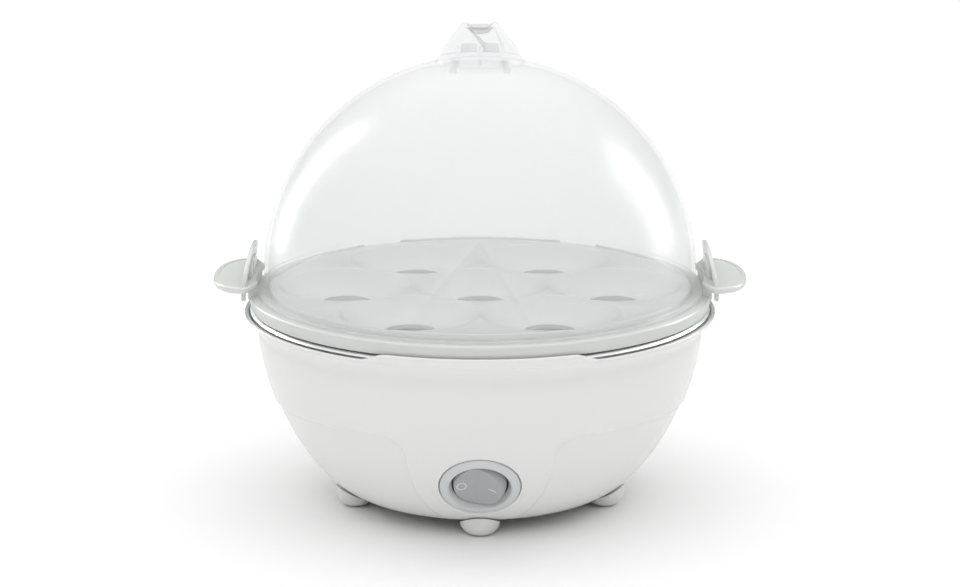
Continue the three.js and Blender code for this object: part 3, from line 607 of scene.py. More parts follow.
CERAMIC = MouldedPlastic("ceramic", (0.74, 0.70, 0.62), 0.35, grain=0.008, mottle=0.05)
RED_WIRE = MouldedPlastic("red_wire", (0.42, 0.06, 0.04), 0.45, grain=0.004, mottle=0.05)
BLUE_WIRE = MouldedPlastic("blue_wire", (0.05, 0.12, 0.35), 0.45, grain=0.004, mottle=0.05)
GREEN_WIRE = MouldedPlastic("green_wire", (0.16, 0.32, 0.05), 0.45, grain=0.004, mottle=0.05)


def dressed(obj: bpy.types.Object, finish: Finish, body: Body, *nodes: str) -> bpy.types.Object:
    """Finishes a piece, puts it on its body and lets it stand for its frame nodes.

    Args:
        obj: the piece.
        finish: what it is finished with.
        body: the body it rides on.
        nodes: the frame nodes that it stands for.

    Returns:
        The same piece.
    """
    obj.data.materials.clear()
    obj.data.materials.append(finish.material())
    obj.data.polygons.foreach_set("use_smooth", [True] * len(obj.data.polygons))
    obj.data.set_sharp_from_angle(angle=SHARP_TURN)
    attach(obj, body.value)
    if nodes:
        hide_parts(*nodes)
    log.info("%s: %d faces, %s, on %s", obj.name, len(obj.data.polygons), finish.name, body.value)
    return obj


# ---- the bowl ------------------------------------------------------------------------------------
@dataclass
class Bowl:
    """The curve that the base's wall follows, from its flat floor up to its shoulder."""

    floor_radius: float = 47.0
    floor: float = 4.5
    shoulder_radius: float = 79.8
    shoulder: float = 63.3
    lower_reach: float = 15.0
    lower_rise: float = 4.5
    upper_reach: float = 25.3
    upper_lean: float = 1.6

    def controls(self) -> list[Vector]:
        """The four control points of the wall's curve."""
        return [
            Vector((self.floor_radius, self.floor)),
            Vector((self.floor_radius + self.lower_reach, self.floor + self.lower_rise)),
            Vector((self.shoulder_radius - self.upper_lean, self.shoulder - self.upper_reach)),
            Vector((self.shoulder_radius, self.shoulder)),
        ]

    def point(self, share: float) -> Vector:
        """The point (radius, height) at a share of the curve."""
        a, b, c, d = self.controls()
        rest = 1 - share
        return a * rest**3 + b * (3 * rest**2 * share) + c * (3 * rest * share**2) + d * share**3

    def along(self, share: float) -> Vector:
        """The direction of the curve at a share of it."""
        a, b, c, d = self.controls()
        rest = 1 - share
        slope = (b - a) * (3 * rest**2) + (c - b) * (6 * rest * share) + (d - c) * (3 * share**2)
        return slope.normalized()

    def share(self, height: float) -> float:
        """The share of the curve at a height."""
        low, high = 0.0, 1.0
        for _ in range(30):
            middle = (low + high) / 2
            low, high = (middle, high) if self.point(middle).y < height else (low, middle)
        return (low + high) / 2

    def radius(self, height: float) -> float:
        """The wall's outer radius at a height."""
        return self.point(self.share(height)).x

    def place(self, height: float, turn: float) -> Matrix:
        """A frame on the wall: X round it, Y up it, Z straight out of it.

        Args:
            height: height of the frame's origin.
            turn: angle from the front in radians.

        Returns:
            The frame, in millimetres.
        """
        share = self.share(height)
        here, up = self.point(share), self.along(share)
        out = Vector((up.y * math.sin(turn), -up.y * math.cos(turn), -up.x))
        side = Vector((math.cos(turn), math.sin(turn), 0.0))
        rise = out.cross(side)
        frame_here = Matrix((side, rise, out)).transposed().to_4x4()
        frame_here.translation = (here.x * math.sin(turn), -here.x * math.cos(turn), here.y)
        return frame_here


# ---- base ----------------------------------------------------------------------------------------
@dataclass
class Base:
    """The white bowl with its flared rim, its apron round the switch, its feet and its floor."""

    bowl: Bowl
    wall: float = 2.4
    rim: float = 70.0
    rim_radius: float = 84.3
    rim_edge: float = 1.4
    rim_round: float = 0.5
    rim_fillet: float = 0.45
    lip_rows: int = 10
    ledge_drop: float = 1.8
    ledge_lean: float = 0.4
    lift: float = 2.5
    lift_turn: float = 22.0
    lift_fade: float = 7.0
    step: float = 0.8
    step_width: float = 0.9
    wave: float = 41.5
    wave_dip: float = 3.5
    apron_margin: float = 9.2
    apron_depth: float = 33.0
    apron_shoulder: float = 5.5
    shoulder_turn: float = 7.0
    crease: float = 0.35
    opening: float = 39.6
    floor_land: float = 4.0
    switch_height: float = 22.0
    recess: float = 14.1
    recess_seat: float = -2.8
    recess_edge: float = 0.2
    recess_mouth: float = 4.0
    pad: float = 15.9
    pad_face: float = -1.3
    pad_back: float = 3.0
    pad_edge: float = 0.8
    barrel_hole: float = 10.9
    barrel_deep: float = 9.0
    gland_height: float = 16.0
    gland_hole: float = 4.5
    gland_deep: float = 9.0
    gland_out: float = 5.0
    curve_samples: int = 4000
    fine_row: float = 0.5
    fine_above: float = 2.0
    coarse_row: float = 1.2
    inner_rows: int = 24
    line_samples: int = 7200
    line_gap: float = 0.3
    line_fill: float = 0.15
    front_turn: float = 30.0
    front_step: float = 0.3
    back_step: float = 1.2
    feet: int = 5
    foot_tip: float = 3.6
    foot_knee: float = 5.6
    foot_cheek: float = 6.85
    foot_top: float = 7.2
    foot_fillet: float = 2.4
    foot_shoulder: float = 1.5
    belly_drop: float = 0.5
    belly_rows: tuple[float, ...] = (0.2, 0.6, 1.2, 2, 3, 4.5, 6.5, 9)

    @property
    def apron_turn(self) -> float:
        """Half of the apron's width as an angle in degrees."""
        half = self.recess + self.apron_margin
        return math.degrees(math.asin(half / self.bowl.radius(self.switch_height)))

    def step_line(self, degrees: float) -> float:
        """Height of the step in the wall at an angle from the front.

        Args:
            degrees: angle from the front, from 0 to 180.

        Returns:
            The height: a deep apron round the switch, then a slow wave round the sides.
        """
        top = self.wave - self.apron_shoulder
        apron = self.apron_turn
        if degrees < apron:
            drop = self.apron_depth * (1 - (degrees / apron) ** 3) ** (1 / 3)
            return max(top - drop, self.bowl.floor + 2 * self.step)
        if degrees < apron + self.shoulder_turn:
            left = 1 - (degrees - apron) / self.shoulder_turn
            return top + self.apron_shoulder * math.sqrt(1 - left * left)
        round_side = (degrees - apron - self.shoulder_turn) / (180 - apron - self.shoulder_turn)
        return self.wave - self.wave_dip * math.sin(round_side * math.pi) ** 2

    def lip_lift(self, degrees: float) -> float:
        """Extra height of the rim at an angle from the front."""
        t = min(max((degrees - self.lift_turn) / self.lift_fade, 0.0), 1.0)
        return self.lift * (1 - t * t * (3 - 2 * t))

    def step_tree(self) -> KDTree:
        """The step line as close-set points in space, for measuring how far the wall is from it.

        Returns:
            The points, ready to search.
        """
        line: list[Vector] = []
        for i in range(self.line_samples):
            turn = -180 + 360 * i / self.line_samples
            height = self.step_line(abs(turn))
            radius = self.bowl.radius(height)
            angle = math.radians(turn)
            here = Vector((radius * math.sin(angle), -radius * math.cos(angle), height))
            if line and (here - line[-1]).length > self.line_gap:
                last = line[-1]
                extra = int((here - last).length / self.line_fill)
                line += [last.lerp(here, k / extra) for k in range(1, extra)]
            line.append(here)
        tree = KDTree(len(line))
        for i, here in enumerate(line):
            tree.insert(here, i)
        tree.balance()
        return tree

    def wall_rows(self) -> list[Vector]:
        """Points up the wall's curve, close-set where the step runs.

        Returns:
            The points (radius, height) from the floor to the shoulder.
        """
        rows = [self.bowl.point(0.0)]
        for i in range(1, self.curve_samples + 1):
            here = self.bowl.point(i / self.curve_samples)
            gap = self.fine_row if here.y < self.wave + self.fine_above else self.coarse_row
            if (here - rows[-1]).length >= gap:
                rows.append(here)
        rows[-1] = self.bowl.point(1.0)
        return rows

    def inner_line(self) -> list[Point]:
        """The inside of the wall from the shoulder down to the floor's opening."""
        line = []
        for i in range(self.inner_rows, -1, -1):
            here, up = self.bowl.point(i / self.inner_rows), self.bowl.along(i / self.inner_rows)
            line.append((here.x - self.wall * up.y, here.y + self.wall * up.x))
        return [*line, (self.opening, self.bowl.floor + self.wall)]

    def section(self, turn: float, rows: list[Vector], tree: KDTree) -> list[Point]:
        """The half section of the shell at one angle, anticlockwise from the floor's inner edge.

        Args:
            turn: angle from the front in radians.
            rows: the wall's points.
            tree: the step line's points.

        Returns:
            The closed section.
        """
        degrees = abs(math.degrees(turn))
        line = self.step_line(degrees)
        points = [(self.opening, self.bowl.floor), (self.opening + self.floor_land, self.bowl.floor)]
        for row in rows:
            here = Vector((row.x * math.sin(turn), -row.x * math.cos(turn), row.y))
            away = tree.find(here)[2] * (1 if row.y > line else -1)
            t = min(max(away / self.step_width + 0.5, 0.0), 1.0)
            points.append((row.x - self.step * (1 - t * t * (3 - 2 * t)), row.y))
        rim = self.rim + self.lip_lift(degrees)
        foot = self.bowl.shoulder
        reach = self.rim_radius - self.bowl.shoulder_radius
        points[-1] = (self.bowl.shoulder_radius - self.crease, foot)
        flare = self.rim - self.rim_round - foot
        for i in range(1, self.lip_rows + 1):
            share = i / self.lip_rows
            points.append((self.bowl.shoulder_radius + reach * share**2, foot + flare * share))
        edge = self.rim_radius - self.rim_edge
        ledge = self.rim - self.ledge_drop
        points += rounded([
            (*points.pop(), 0.0), (self.rim_radius, rim, self.rim_fillet), (edge, rim, self.rim_fillet),
            (edge - self.ledge_lean, ledge, 0.0),
        ], steps=4)
        points.append((self.bowl.shoulder_radius - self.wall / 2, ledge - self.ledge_lean))
        return points + self.inner_line()

    def shell(self) -> bpy.types.Object:
        """The bowl with its recess for the switch and its hole for the cord gland."""
        turns, turn = [], -180.0
        while turn < 180.0 - 1e-6:
            turns.append(math.radians(turn))
            turn += self.front_step if -self.front_turn <= turn < self.front_turn else self.back_step
        rows, tree = self.wall_rows(), self.step_tree()
        shell = loft("housing_shell", [self.section(t, rows, tree) for t in turns], turns)
        switch = self.bowl.place(self.switch_height, 0.0)
        deep = self.recess_seat - self.pad_back
        pad = lathe("pad", rounded([
            (0.0, deep, 0.0), (self.pad, deep, 0.0), (self.pad, self.pad_face, self.pad_edge),
            (0.0, self.pad_face, 0.0),
        ]), 128)
        low, mouth, edge = deep - self.barrel_deep, self.recess_mouth, self.recess_edge
        recess = lathe("recess", rounded([
            (0.0, low, 0.0), (self.barrel_hole, low, 0.0), (self.barrel_hole, self.recess_seat, 0.0),
            (self.recess, self.recess_seat, edge), (self.recess, self.pad_face - GAP, edge),
            (self.recess + GAP, self.pad_face + 0.02, 0.0), (self.recess + GAP, mouth, 0.0),
            (0.0, mouth, 0.0),
        ]), 128)
        joined(shell, placed(pad, switch), Join.ADD)
        joined(shell, placed(recess, switch), Join.CUT)
        hole = lathe("hole", box(0.0, self.gland_hole, -self.gland_deep, self.gland_out), 64)
        return joined(shell, placed(hole, self.bowl.place(self.gland_height, math.pi)), Join.CUT)

    def foot(self, number: int) -> bpy.types.Object:
        """One rounded bumper, its top following the underside of the bowl.

        Args:
            number: which foot, from 0 at the front.

        Returns:
            The foot.
        """
        floor = self.bowl.floor
        bumper = lathe(f"bumper_{number + 1}", rounded([
            (0.0, 0.0, 0.0), (self.foot_tip, 0.0, 0.0), (self.foot_knee, floor * 0.3, self.foot_fillet),
            (self.foot_cheek, floor * 0.7, self.foot_fillet),
            (self.foot_top, floor * 1.1, self.foot_shoulder), (self.foot_top, 2 * floor, 0.0),
            (0.0, 2 * floor, 0.0),
        ]), 64)
        belly: list[Point] = [(0.0, floor - GAP)]
        for above in self.belly_rows:
            belly.append((self.bowl.radius(floor + above) + GAP, floor + above - self.belly_drop))
        belly.append((0.0, 3 * floor))
        spot = spun(number * 360 / self.feet) @ at(0.0, -self.bowl.floor_radius)
        return joined(placed(bumper, spot), lathe("belly", belly, 160), Join.CUT)

    def build(self) -> None:
        """Builds the shell and the feet."""
        dressed(self.shell(), WHITE, Body.BASE, "base_housing")
        for number in range(self.feet):
            dressed(self.foot(number), WHITE, Body.BASE, f"foot_{number + 1}")


@dataclass
class Underside:
    """The service cover in the floor, with its vents and screws, and the cord gland."""

    bowl: Bowl
    radius: float = 39.3
    thick: float = 1.8
    vents: int = 10
    vent_inner: float = 14.0
    vent_outer: float = 25.0
    vent_half: float = 1.3
    panel_radius: float = 9.6
    panel_slope: float = 0.6
    panel_deep: float = 0.3
    cover_edge: float = 0.5
    cover_back: float = 0.4
    screw_circle: float = 33.0
    screw_turn: float = 60.0
    screws: int = 3
    screw_hole: float = 1.5
    screw_head: float = 2.7
    screw_crown: float = 1.7
    screw_tall: float = 1.5
    screw_shank: float = 1.2
    screw_long: float = 7.0
    slot_half: float = 1.9
    slot_side: float = 0.35
    slot_deep: float = 0.75
    gland_height: float = 16.0
    gland_bore: float = 2.6
    gland_body: float = 4.2
    gland_flange: float = 6.4
    gland_thick: float = 1.6
    gland_inside: float = 6.2
    gland_nose: float = 5.3
    gland_tip: float = 3.6

    def cover(self) -> bpy.types.Object:
        """The round cover with its ring of vents."""
        low = self.bowl.floor
        high = low + self.thick
        panel, deep = self.panel_radius, self.panel_deep
        plate = lathe("service_cover", rounded([
            (0.0, low + deep, 0.0), (panel - self.panel_slope, low + deep, deep), (panel, low, deep),
            (self.radius, low, self.cover_edge), (self.radius, high, self.cover_back), (0.0, high, 0.0),
        ]), 192)
        half, inner, outer = self.vent_half, self.vent_inner, self.vent_outer
        slot = arc(half, (0.0, -inner - half), 0, 180, 12) + arc(half, (0.0, half - outer), 180, 360, 12)
        for i in range(self.vents):
            vent = placed(slab("vent", slot, low - 2, high + 2), spun(i * 360 / self.vents))
            joined(plate, vent, Join.CUT)
        for i in range(self.screws):
            hole = lathe("hole", box(0.0, self.screw_hole, 0.0, high + 2), 48)
            joined(plate, placed(hole, self.screw_spot(i)), Join.CUT)
        return plate

    def screw_spot(self, number: int) -> Matrix:
        """Where one cover screw stands."""
        return spun(self.screw_turn + number * 360 / self.screws) @ at(0.0, -self.screw_circle)

    def screw(self, number: int) -> bpy.types.Object:
        """One cross-slotted cover screw.

        Args:
            number: which screw.

        Returns:
            The screw.
        """
        under, head, shank = self.bowl.floor - GAP, self.screw_head, self.screw_shank
        made = lathe(f"service_screw_{number + 1}", rounded([
            (0.0, under - self.screw_tall, 0.0), (self.screw_crown, under - self.screw_tall + 0.05, 0.6),
            (head, under - 0.3, 0.3), (head, under, 0.0), (shank, under, 0.0),
            (shank, under + self.screw_long, 0.0), (0.0, under + self.screw_long + shank, 0.0),
        ]), 64)
        half, side = self.slot_half, self.slot_side
        for turn in (0.0, 90.0):
            bar = box(-half, half, -side, side)
            cross = slab("cross", bar, under - self.screw_tall - 0.7, under - self.slot_deep)
            joined(made, placed(cross, spun(turn)), Join.CUT)
        return placed(made, self.screw_spot(number))

    def gland(self) -> bpy.types.Object:
        """The rubber gland that the mains lead passes through."""
        bore, body, flange, thick = self.gland_bore, self.gland_body, self.gland_flange, self.gland_thick
        low, nose = -self.gland_inside, self.gland_nose
        made = lathe("lead_gland", rounded([
            (bore, low, 0.0), (flange, low, 0.4), (flange, low + thick, 0.3), (body, low + thick, 0.2),
            (body, GAP, 0.2), (flange, GAP, 0.2), (flange, GAP + thick, 0.7),
            (body + 0.1, GAP + thick + 0.7, 0.8), (self.gland_tip, nose, 0.5), (bore, nose, 0.3),
        ], Line.CLOSED), 96)
        return placed(made, self.bowl.place(self.gland_height, math.pi))

    def build(self) -> None:
        """Builds the cover, its screws and the gland."""
        dressed(self.cover(), PALE, Body.BASE, "bottom_cover")
        for number in range(self.screws):
            dressed(self.screw(number), ZINC, Body.BASE, f"cover_screw_{number + 1}")
        dressed(self.gland(), RUBBER, Body.BASE, "cord_gland")


@dataclass
class Heater:
    """The drawn steel dish that boils the water, and what hangs under it."""

    floor: float = 50.0
    floor_radius: float = 60.0
    side: float = 74.8
    side_low: float = 60.3
    side_high: float = 66.6
    heel: float = 3.4
    heel_rise: float = 4.6
    crown: float = 80.4
    crown_top: float = 71.7
    crown_fall: float = 0.3
    hem: float = 70.5
    bead: float = 35.0
    bead_tall: float = 0.5
    bead_round: float = 1.5
    sheet: float = 1.0
    stud: float = 2.2
    stud_low: float = 20.0

    def dish(self) -> bpy.types.Object:
        """The dish: flat floor, a soft bend, a steep wall and a rolled crown."""
        floor, bead, soft = self.floor, self.bead, self.bead_round
        brow = self.crown_top - self.crown_fall
        upper = rounded([
            (0.0, floor, 0.0), (bead - 1, floor, soft), (bead, floor + self.bead_tall, soft),
            (bead + 1, floor, soft), (self.floor_radius, floor, 6.0),
            (self.side - self.heel, floor + self.heel_rise, 5.0), (self.side, self.side_low, 4.0),
            (self.side + 1, self.side_high, 4.0), (self.crown - 1.0, brow, 1.6),
            (self.crown + 1.0, brow, 1.2), (self.crown + 2.0, self.hem, 0.0),
        ], steps=8)
        lower = []
        for i, (r, z) in enumerate(upper):
            before, after = upper[max(i - 1, 0)], upper[min(i + 1, len(upper) - 1)]
            run = math.dist(before, after)
            lean, rise = (after[0] - before[0]) / run, (after[1] - before[1]) / run
            lower.append((max(r + self.sheet * rise, 0.0), z - self.sheet * lean))
        under = [point for point in lower if point[0] > self.stud + 0.1]
        stud = [(0.0, self.stud_low), (self.stud, self.stud_low), (self.stud, self.floor - self.sheet)]
        return lathe("water_dish", [*stud, *under, *reversed(upper)], 256)

    def build(self) -> None:
        """Builds the dish; what hangs under it keeps the frame's shape."""
        dressed(self.dish(), STEEL, Body.BASE, "heating_dish")


@dataclass
class Switch:
    """The round rocker switch: its bezel, its rocker and the two marks on it."""

    bowl: Bowl
    height: float = 22.0
    seat: float = -2.8
    bezel: float = 13.8
    well: float = 9.7
    thick: float = 1.5
    crown: float = 0.9
    crown_in: float = 1.3
    crown_out: float = 2.2
    lip_in: float = 0.9
    brow: float = 0.7
    ball: float = 9.35
    ball_over: float = 0.5
    face_over: float = 0.4
    face_rise: float = 0.25
    dish_rise: float = 0.45
    dish_at: float = 0.45
    dish_round: float = 2.5
    pivot: float = -4.2
    waist: float = 2.8
    wing: float = 4.6
    skirt: float = 2.2
    rest_turn: float = -11.0
    button_edge: float = 0.35
    mark_proud: float = 0.05
    mark_deep: float = 0.3
    off_radius: float = 1.85
    off_line: float = 0.45
    off_out: float = 5.6
    on_half: float = 1.5
    on_side: float = 0.25
    on_out: float = 5.0

    def ring(self) -> bpy.types.Object:
        """The bezel, whose funnel leads the eye down to the rocker."""
        low = self.seat + GAP
        edge = low + self.thick
        made = lathe("bezel_ring", rounded([
            (self.well, low, 0.0), (self.bezel, low, 0.2), (self.bezel, edge - 0.1, self.brow),
            (self.well + self.crown_out, edge + self.crown * 0.85, 0.5),
            (self.well + self.crown_in, edge + self.crown, 0.5),
            (self.well + self.lip_in, edge + self.crown * 0.5, 0.3),
        ], Line.CLOSED), 160)
        return placed(made, self.bowl.place(self.height, 0.0))

    def rocker_place(self) -> Matrix:
        """The rocker's own frame at rest, with its off side pressed in."""
        lean = Matrix.Rotation(math.radians(self.rest_turn), 4, "Y")
        return self.bowl.place(self.height, 0.0) @ at(0.0, 0.0, self.pivot) @ lean

    def face(self) -> list[Corner]:
        """The corners of the rocker's face, from its right end to its left one."""
        end = math.sqrt(self.ball**2 - self.wing**2)
        half = [(end + self.face_over, self.wing + self.face_rise, 0.0),
                (end * self.dish_at, self.waist + self.dish_rise, self.dish_round)]
        left = [(-x, z, r) for x, z, r in reversed(half)]
        return [*half, (0.0, self.waist, self.dish_round), *left]

    def button(self) -> bpy.types.Object:
        """The rocker: a bar with a dished face, trimmed to a ball so that it clears the bezel."""
        skirt_end = math.sqrt(self.ball**2 - self.skirt**2) + self.ball_over
        outline = rounded([(-skirt_end, -self.skirt, 0.0), (skirt_end, -self.skirt, 0.0), *self.face()],
                          Line.CLOSED, 8)
        bar = slab("rocker_button", outline, -self.ball - 1, self.ball + 1)
        placed(bar, Matrix.Rotation(math.pi / 2, 4, "X"))
        skin = arc(self.ball, (0.0, 0.0), -88, 88, 60)
        joined(bar, lathe("ball", [(0.0, -self.ball), *skin, (0.0, self.ball)], 128), Join.KEEP)
        soften(bar, self.button_edge, 4, 40)
        return placed(bar, self.rocker_place())

    def mark(self, name: str, made: bpy.types.Object, side: int, out: float) -> bpy.types.Object:
        """Lays a mark on one half of the rocker's face.

        Args:
            name: name of the mark.
            made: the mark, flat about its own origin.
            side: -1 for the left half, 1 for the right one.
            out: how far along that half its middle lies.

        Returns:
            The mark in place.
        """
        (x1, z1, _), (x0, z0, _) = self.face()[:2]
        slope = math.atan2(z1 - z0, x1 - x0)
        height = z0 + (out - x0) * math.tan(slope)
        lean = Matrix.Rotation(-side * slope, 4, "Y")
        made.name = name
        return placed(made, self.rocker_place() @ at(side * out, 0.0, height) @ lean)

    def build(self) -> None:
        """Builds the bezel, the rocker and its off and on marks."""
        dressed(self.ring(), BEZEL_GREY, Body.BASE, "switch_bezel")
        dressed(self.button(), ROCKER_GREY, Body.ROCKER, "rocker")
        low, high = -self.mark_deep, self.mark_proud
        outer, inner = self.off_radius, self.off_radius - self.off_line
        off = lathe("off", box(inner, outer, low, high), 64)
        dressed(self.mark("off_mark", off, -1, self.off_out), MARK_WHITE, Body.ROCKER)
        half, side = self.on_half, self.on_side
        dash = slab("on", box(-half, half, -side, side), low, high)
        dressed(self.mark("on_mark", dash, 1, self.on_out), MARK_WHITE, Body.ROCKER)


# ---- egg tray ------------------------------------------------------------------------------------
@dataclass
class EggTray:
    """The milky tray: a stepped ring, seven seats with steam holes and a handle at each side."""

    foot: float = 72.0
    radius: float = 82.3
    ring_top: float = 76.5
    top: float = 78.0
    wall: float = 1.5
    upstand: float = 75.4
    upstand_tall: float = 2.5
    skirt: float = 2.2
    seat_circle: float = 48.0
    seat_radius: float = 24.6
    seat_depth: float = 6.5
    seat_hole: float = 9.0
    seat_lip: float = 1.4
    seat_count: int = 6
    seat_rows: int = 24
    plane: float = 81.2
    plate_thick: float = 2.2
    plate_edge: float = 0.7
    tip: float = 95.3
    guard_radius: float = 83.3
    guard_thick: float = 1.4
    guard_tall: float = 12.0
    guard_lean: float = 2.2
    inner_tall: float = 8.0
    inner_half: float = 11.0
    wing_half: float = 24.0
    dish_inset: float = 1.6
    dish_out: float = 10.2
    dish_deep: float = 0.35
    bury: float = 0.6
    clear: float = 80.0
    neck_half: float = 12.0
    leg_spread: float = 19.0
    leg_half: float = 1.5
    leg_thick: float = 1.4
    leg_round: float = 0.3
    leg_long: float = 3.4
    above: float = 110.0
    below: float = 60.0

    def ring(self) -> bpy.types.Object:
        """The tray's plate, its locating skirt and the stepped ring that the lid stands on."""
        up, low = self.upstand, self.foot - self.skirt
        shelf = self.ring_top - self.wall
        outer, high = self.radius - self.wall, self.ring_top + self.upstand_tall
        return lathe("seat_tray", rounded([
            (0.0, self.ring_top, 0.0), (up - 2.4, self.ring_top, 0.4), (up - 2.4, low, 0.4),
            (up - 1, low, 0.4), (up - 0.6, shelf, 0.4), (outer, shelf, 0.4), (outer, self.foot, 0.3),
            (self.radius - 0.2, self.foot, 0.4), (self.radius, self.foot + 1.5, 1.5),
            (self.radius, self.ring_top, 1.0), (up + 0.1, self.ring_top, 0.4),
            (up, high, 0.5), (up - 1.3, high, 0.5), (up - 1.5, self.top, 0.5), (0.0, self.top, 0.0),
        ]), 256)

    def cup(self, grow: float) -> list[Point]:
        """The curved part of a seat's section, from its hole outwards.

        Args:
            grow: how far it lies outside the seat's surface.

        Returns:
            The points (radius, height) up to the plate's top.
        """
        line = []
        for i in range(self.seat_rows + 1):
            share = i / self.seat_rows
            radius = self.seat_hole + (self.seat_radius + grow - self.seat_hole) * share
            line.append((radius, self.top - (self.seat_depth + grow) * (1 - share**2)))
        return line

    def spots(self) -> list[Point]:
        """The middles of the seven seats."""
        step = 360 / self.seat_count
        turns = [math.radians(step * (i - 1)) for i in range(self.seat_count)]
        ring = [(self.seat_circle * math.cos(a), self.seat_circle * math.sin(a)) for a in turns]
        return [(0.0, 0.0), *ring]

    def seats(self, tray: bpy.types.Object) -> None:
        """Adds the seats' cups to the tray and hollows them out.

        Args:
            tray: the tray's ring and plate.
        """
        outer = self.cup(self.wall)[:-1]
        edge = self.seat_radius + self.wall
        inner = self.cup(0.0)[:-1]
        flare = rounded([(*inner[-2], 0.0), (self.seat_radius, self.top, self.seat_lip),
                         (edge + 2, self.top + 0.12, 0.0)], steps=8)
        brim, over, bore = self.top - 0.05, self.top + 3, self.seat_hole
        for x, y in self.spots():
            shell = lathe("cup", [(0.0, outer[0][1]), *outer, (edge, brim), (0.0, brim)], 96)
            joined(tray, placed(shell, at(x, y)), Join.ADD)
        for x, y in self.spots():
            line = [(0.0, inner[0][1]), *inner[:-2], *flare, (edge + 2, over), (0.0, over)]
            joined(tray, placed(lathe("hollow", line, 128), at(x, y)), Join.CUT)
            hole = lathe("hole", [
                (0.0, self.below), (bore, self.below), (bore, self.top - self.seat_depth),
                (bore + GAP, self.top), (0.0, self.top),
            ], 96)
            joined(tray, placed(hole, at(x, y)), Join.CUT)

    def guard(self, half: float, tall: float, out: float, lean: float) -> bpy.types.Object:
        """An upright arch across a handle.

        Args:
            half: half of its width.
            tall: its height.
            out: how far from the middle of the tray it stands.
            lean: how far its top leans towards the lid.

        Returns:
            The arch, for the handle on +X.
        """
        arch = slab("guard", oval(half, tall, 64, 0.8), -self.guard_thick / 2, self.guard_thick / 2, 0.4)
        upright = Matrix(((0, 0, 1, 0), (1, 0, 0, 0), (0, 1, 0, 0), (0, 0, 0, 1)))
        tip = Matrix.Identity(4)
        tip[0][2] = -lean / tall
        return placed(arch, at(out, 0.0, self.plane - self.plate_thick / 2 + self.bury) @ tip @ upright)

    def wing(self) -> bpy.types.Object:
        """One handle: a half-oval plate with two upright guards, a neck to the ring and two legs."""
        low, high = self.plane - self.plate_thick / 2, self.plane + self.plate_thick / 2
        out, back, waist = self.guard_radius, self.clear - 2, self.neck_half + 2
        outline = [(out + x, -y) for y, x in oval(self.wing_half, self.tip - out, 64)]
        outline += [(out - self.guard_thick, self.wing_half), (back, waist)]
        outline += [(back, -waist), (out - self.guard_thick, -self.wing_half)]
        made = slab("handle", outline, low, high, self.plate_edge)
        rim = [(out + x, -y) for y, x in oval(self.wing_half - self.dish_inset, self.dish_out, 64)]
        joined(made, slab("dip", rim, high - self.dish_deep, high + 1), Join.CUT)
        joined(made, self.guard(self.wing_half - 1.2, self.guard_tall, out, self.guard_lean), Join.ADD)
        inner = self.guard(self.inner_half, self.inner_tall, self.clear + self.guard_thick, 0.0)
        joined(made, inner, Join.ADD)
        foot = low + self.bury
        neck = box(self.clear - 1, self.radius, -self.neck_half, self.neck_half)
        joined(made, slab("neck", neck, self.ring_top - self.wall + 0.2, foot), Join.ADD)
        thick = self.leg_thick / 2
        for side in (-self.leg_spread, self.leg_spread):
            leg = box(out - thick, out + thick, side - self.leg_half, side + self.leg_half)
            leg = rounded([(x, y, self.leg_round) for x, y in leg], Line.CLOSED)
            joined(made, slab("leg", leg, low - self.leg_long, foot), Join.ADD)
        bore = lathe("bore", box(0.0, self.clear, self.ring_top, self.above), 256)
        return joined(made, bore, Join.CUT)

    def build(self) -> None:
        """Builds the tray with its seats and handles as one moulding."""
        tray = self.ring()
        self.seats(tray)
        for turn in (0.0, 180.0):
            joined(tray, placed(self.wing(), spun(turn)), Join.ADD)
        dressed(tray, MILK, Body.TRAY, "egg_tray")


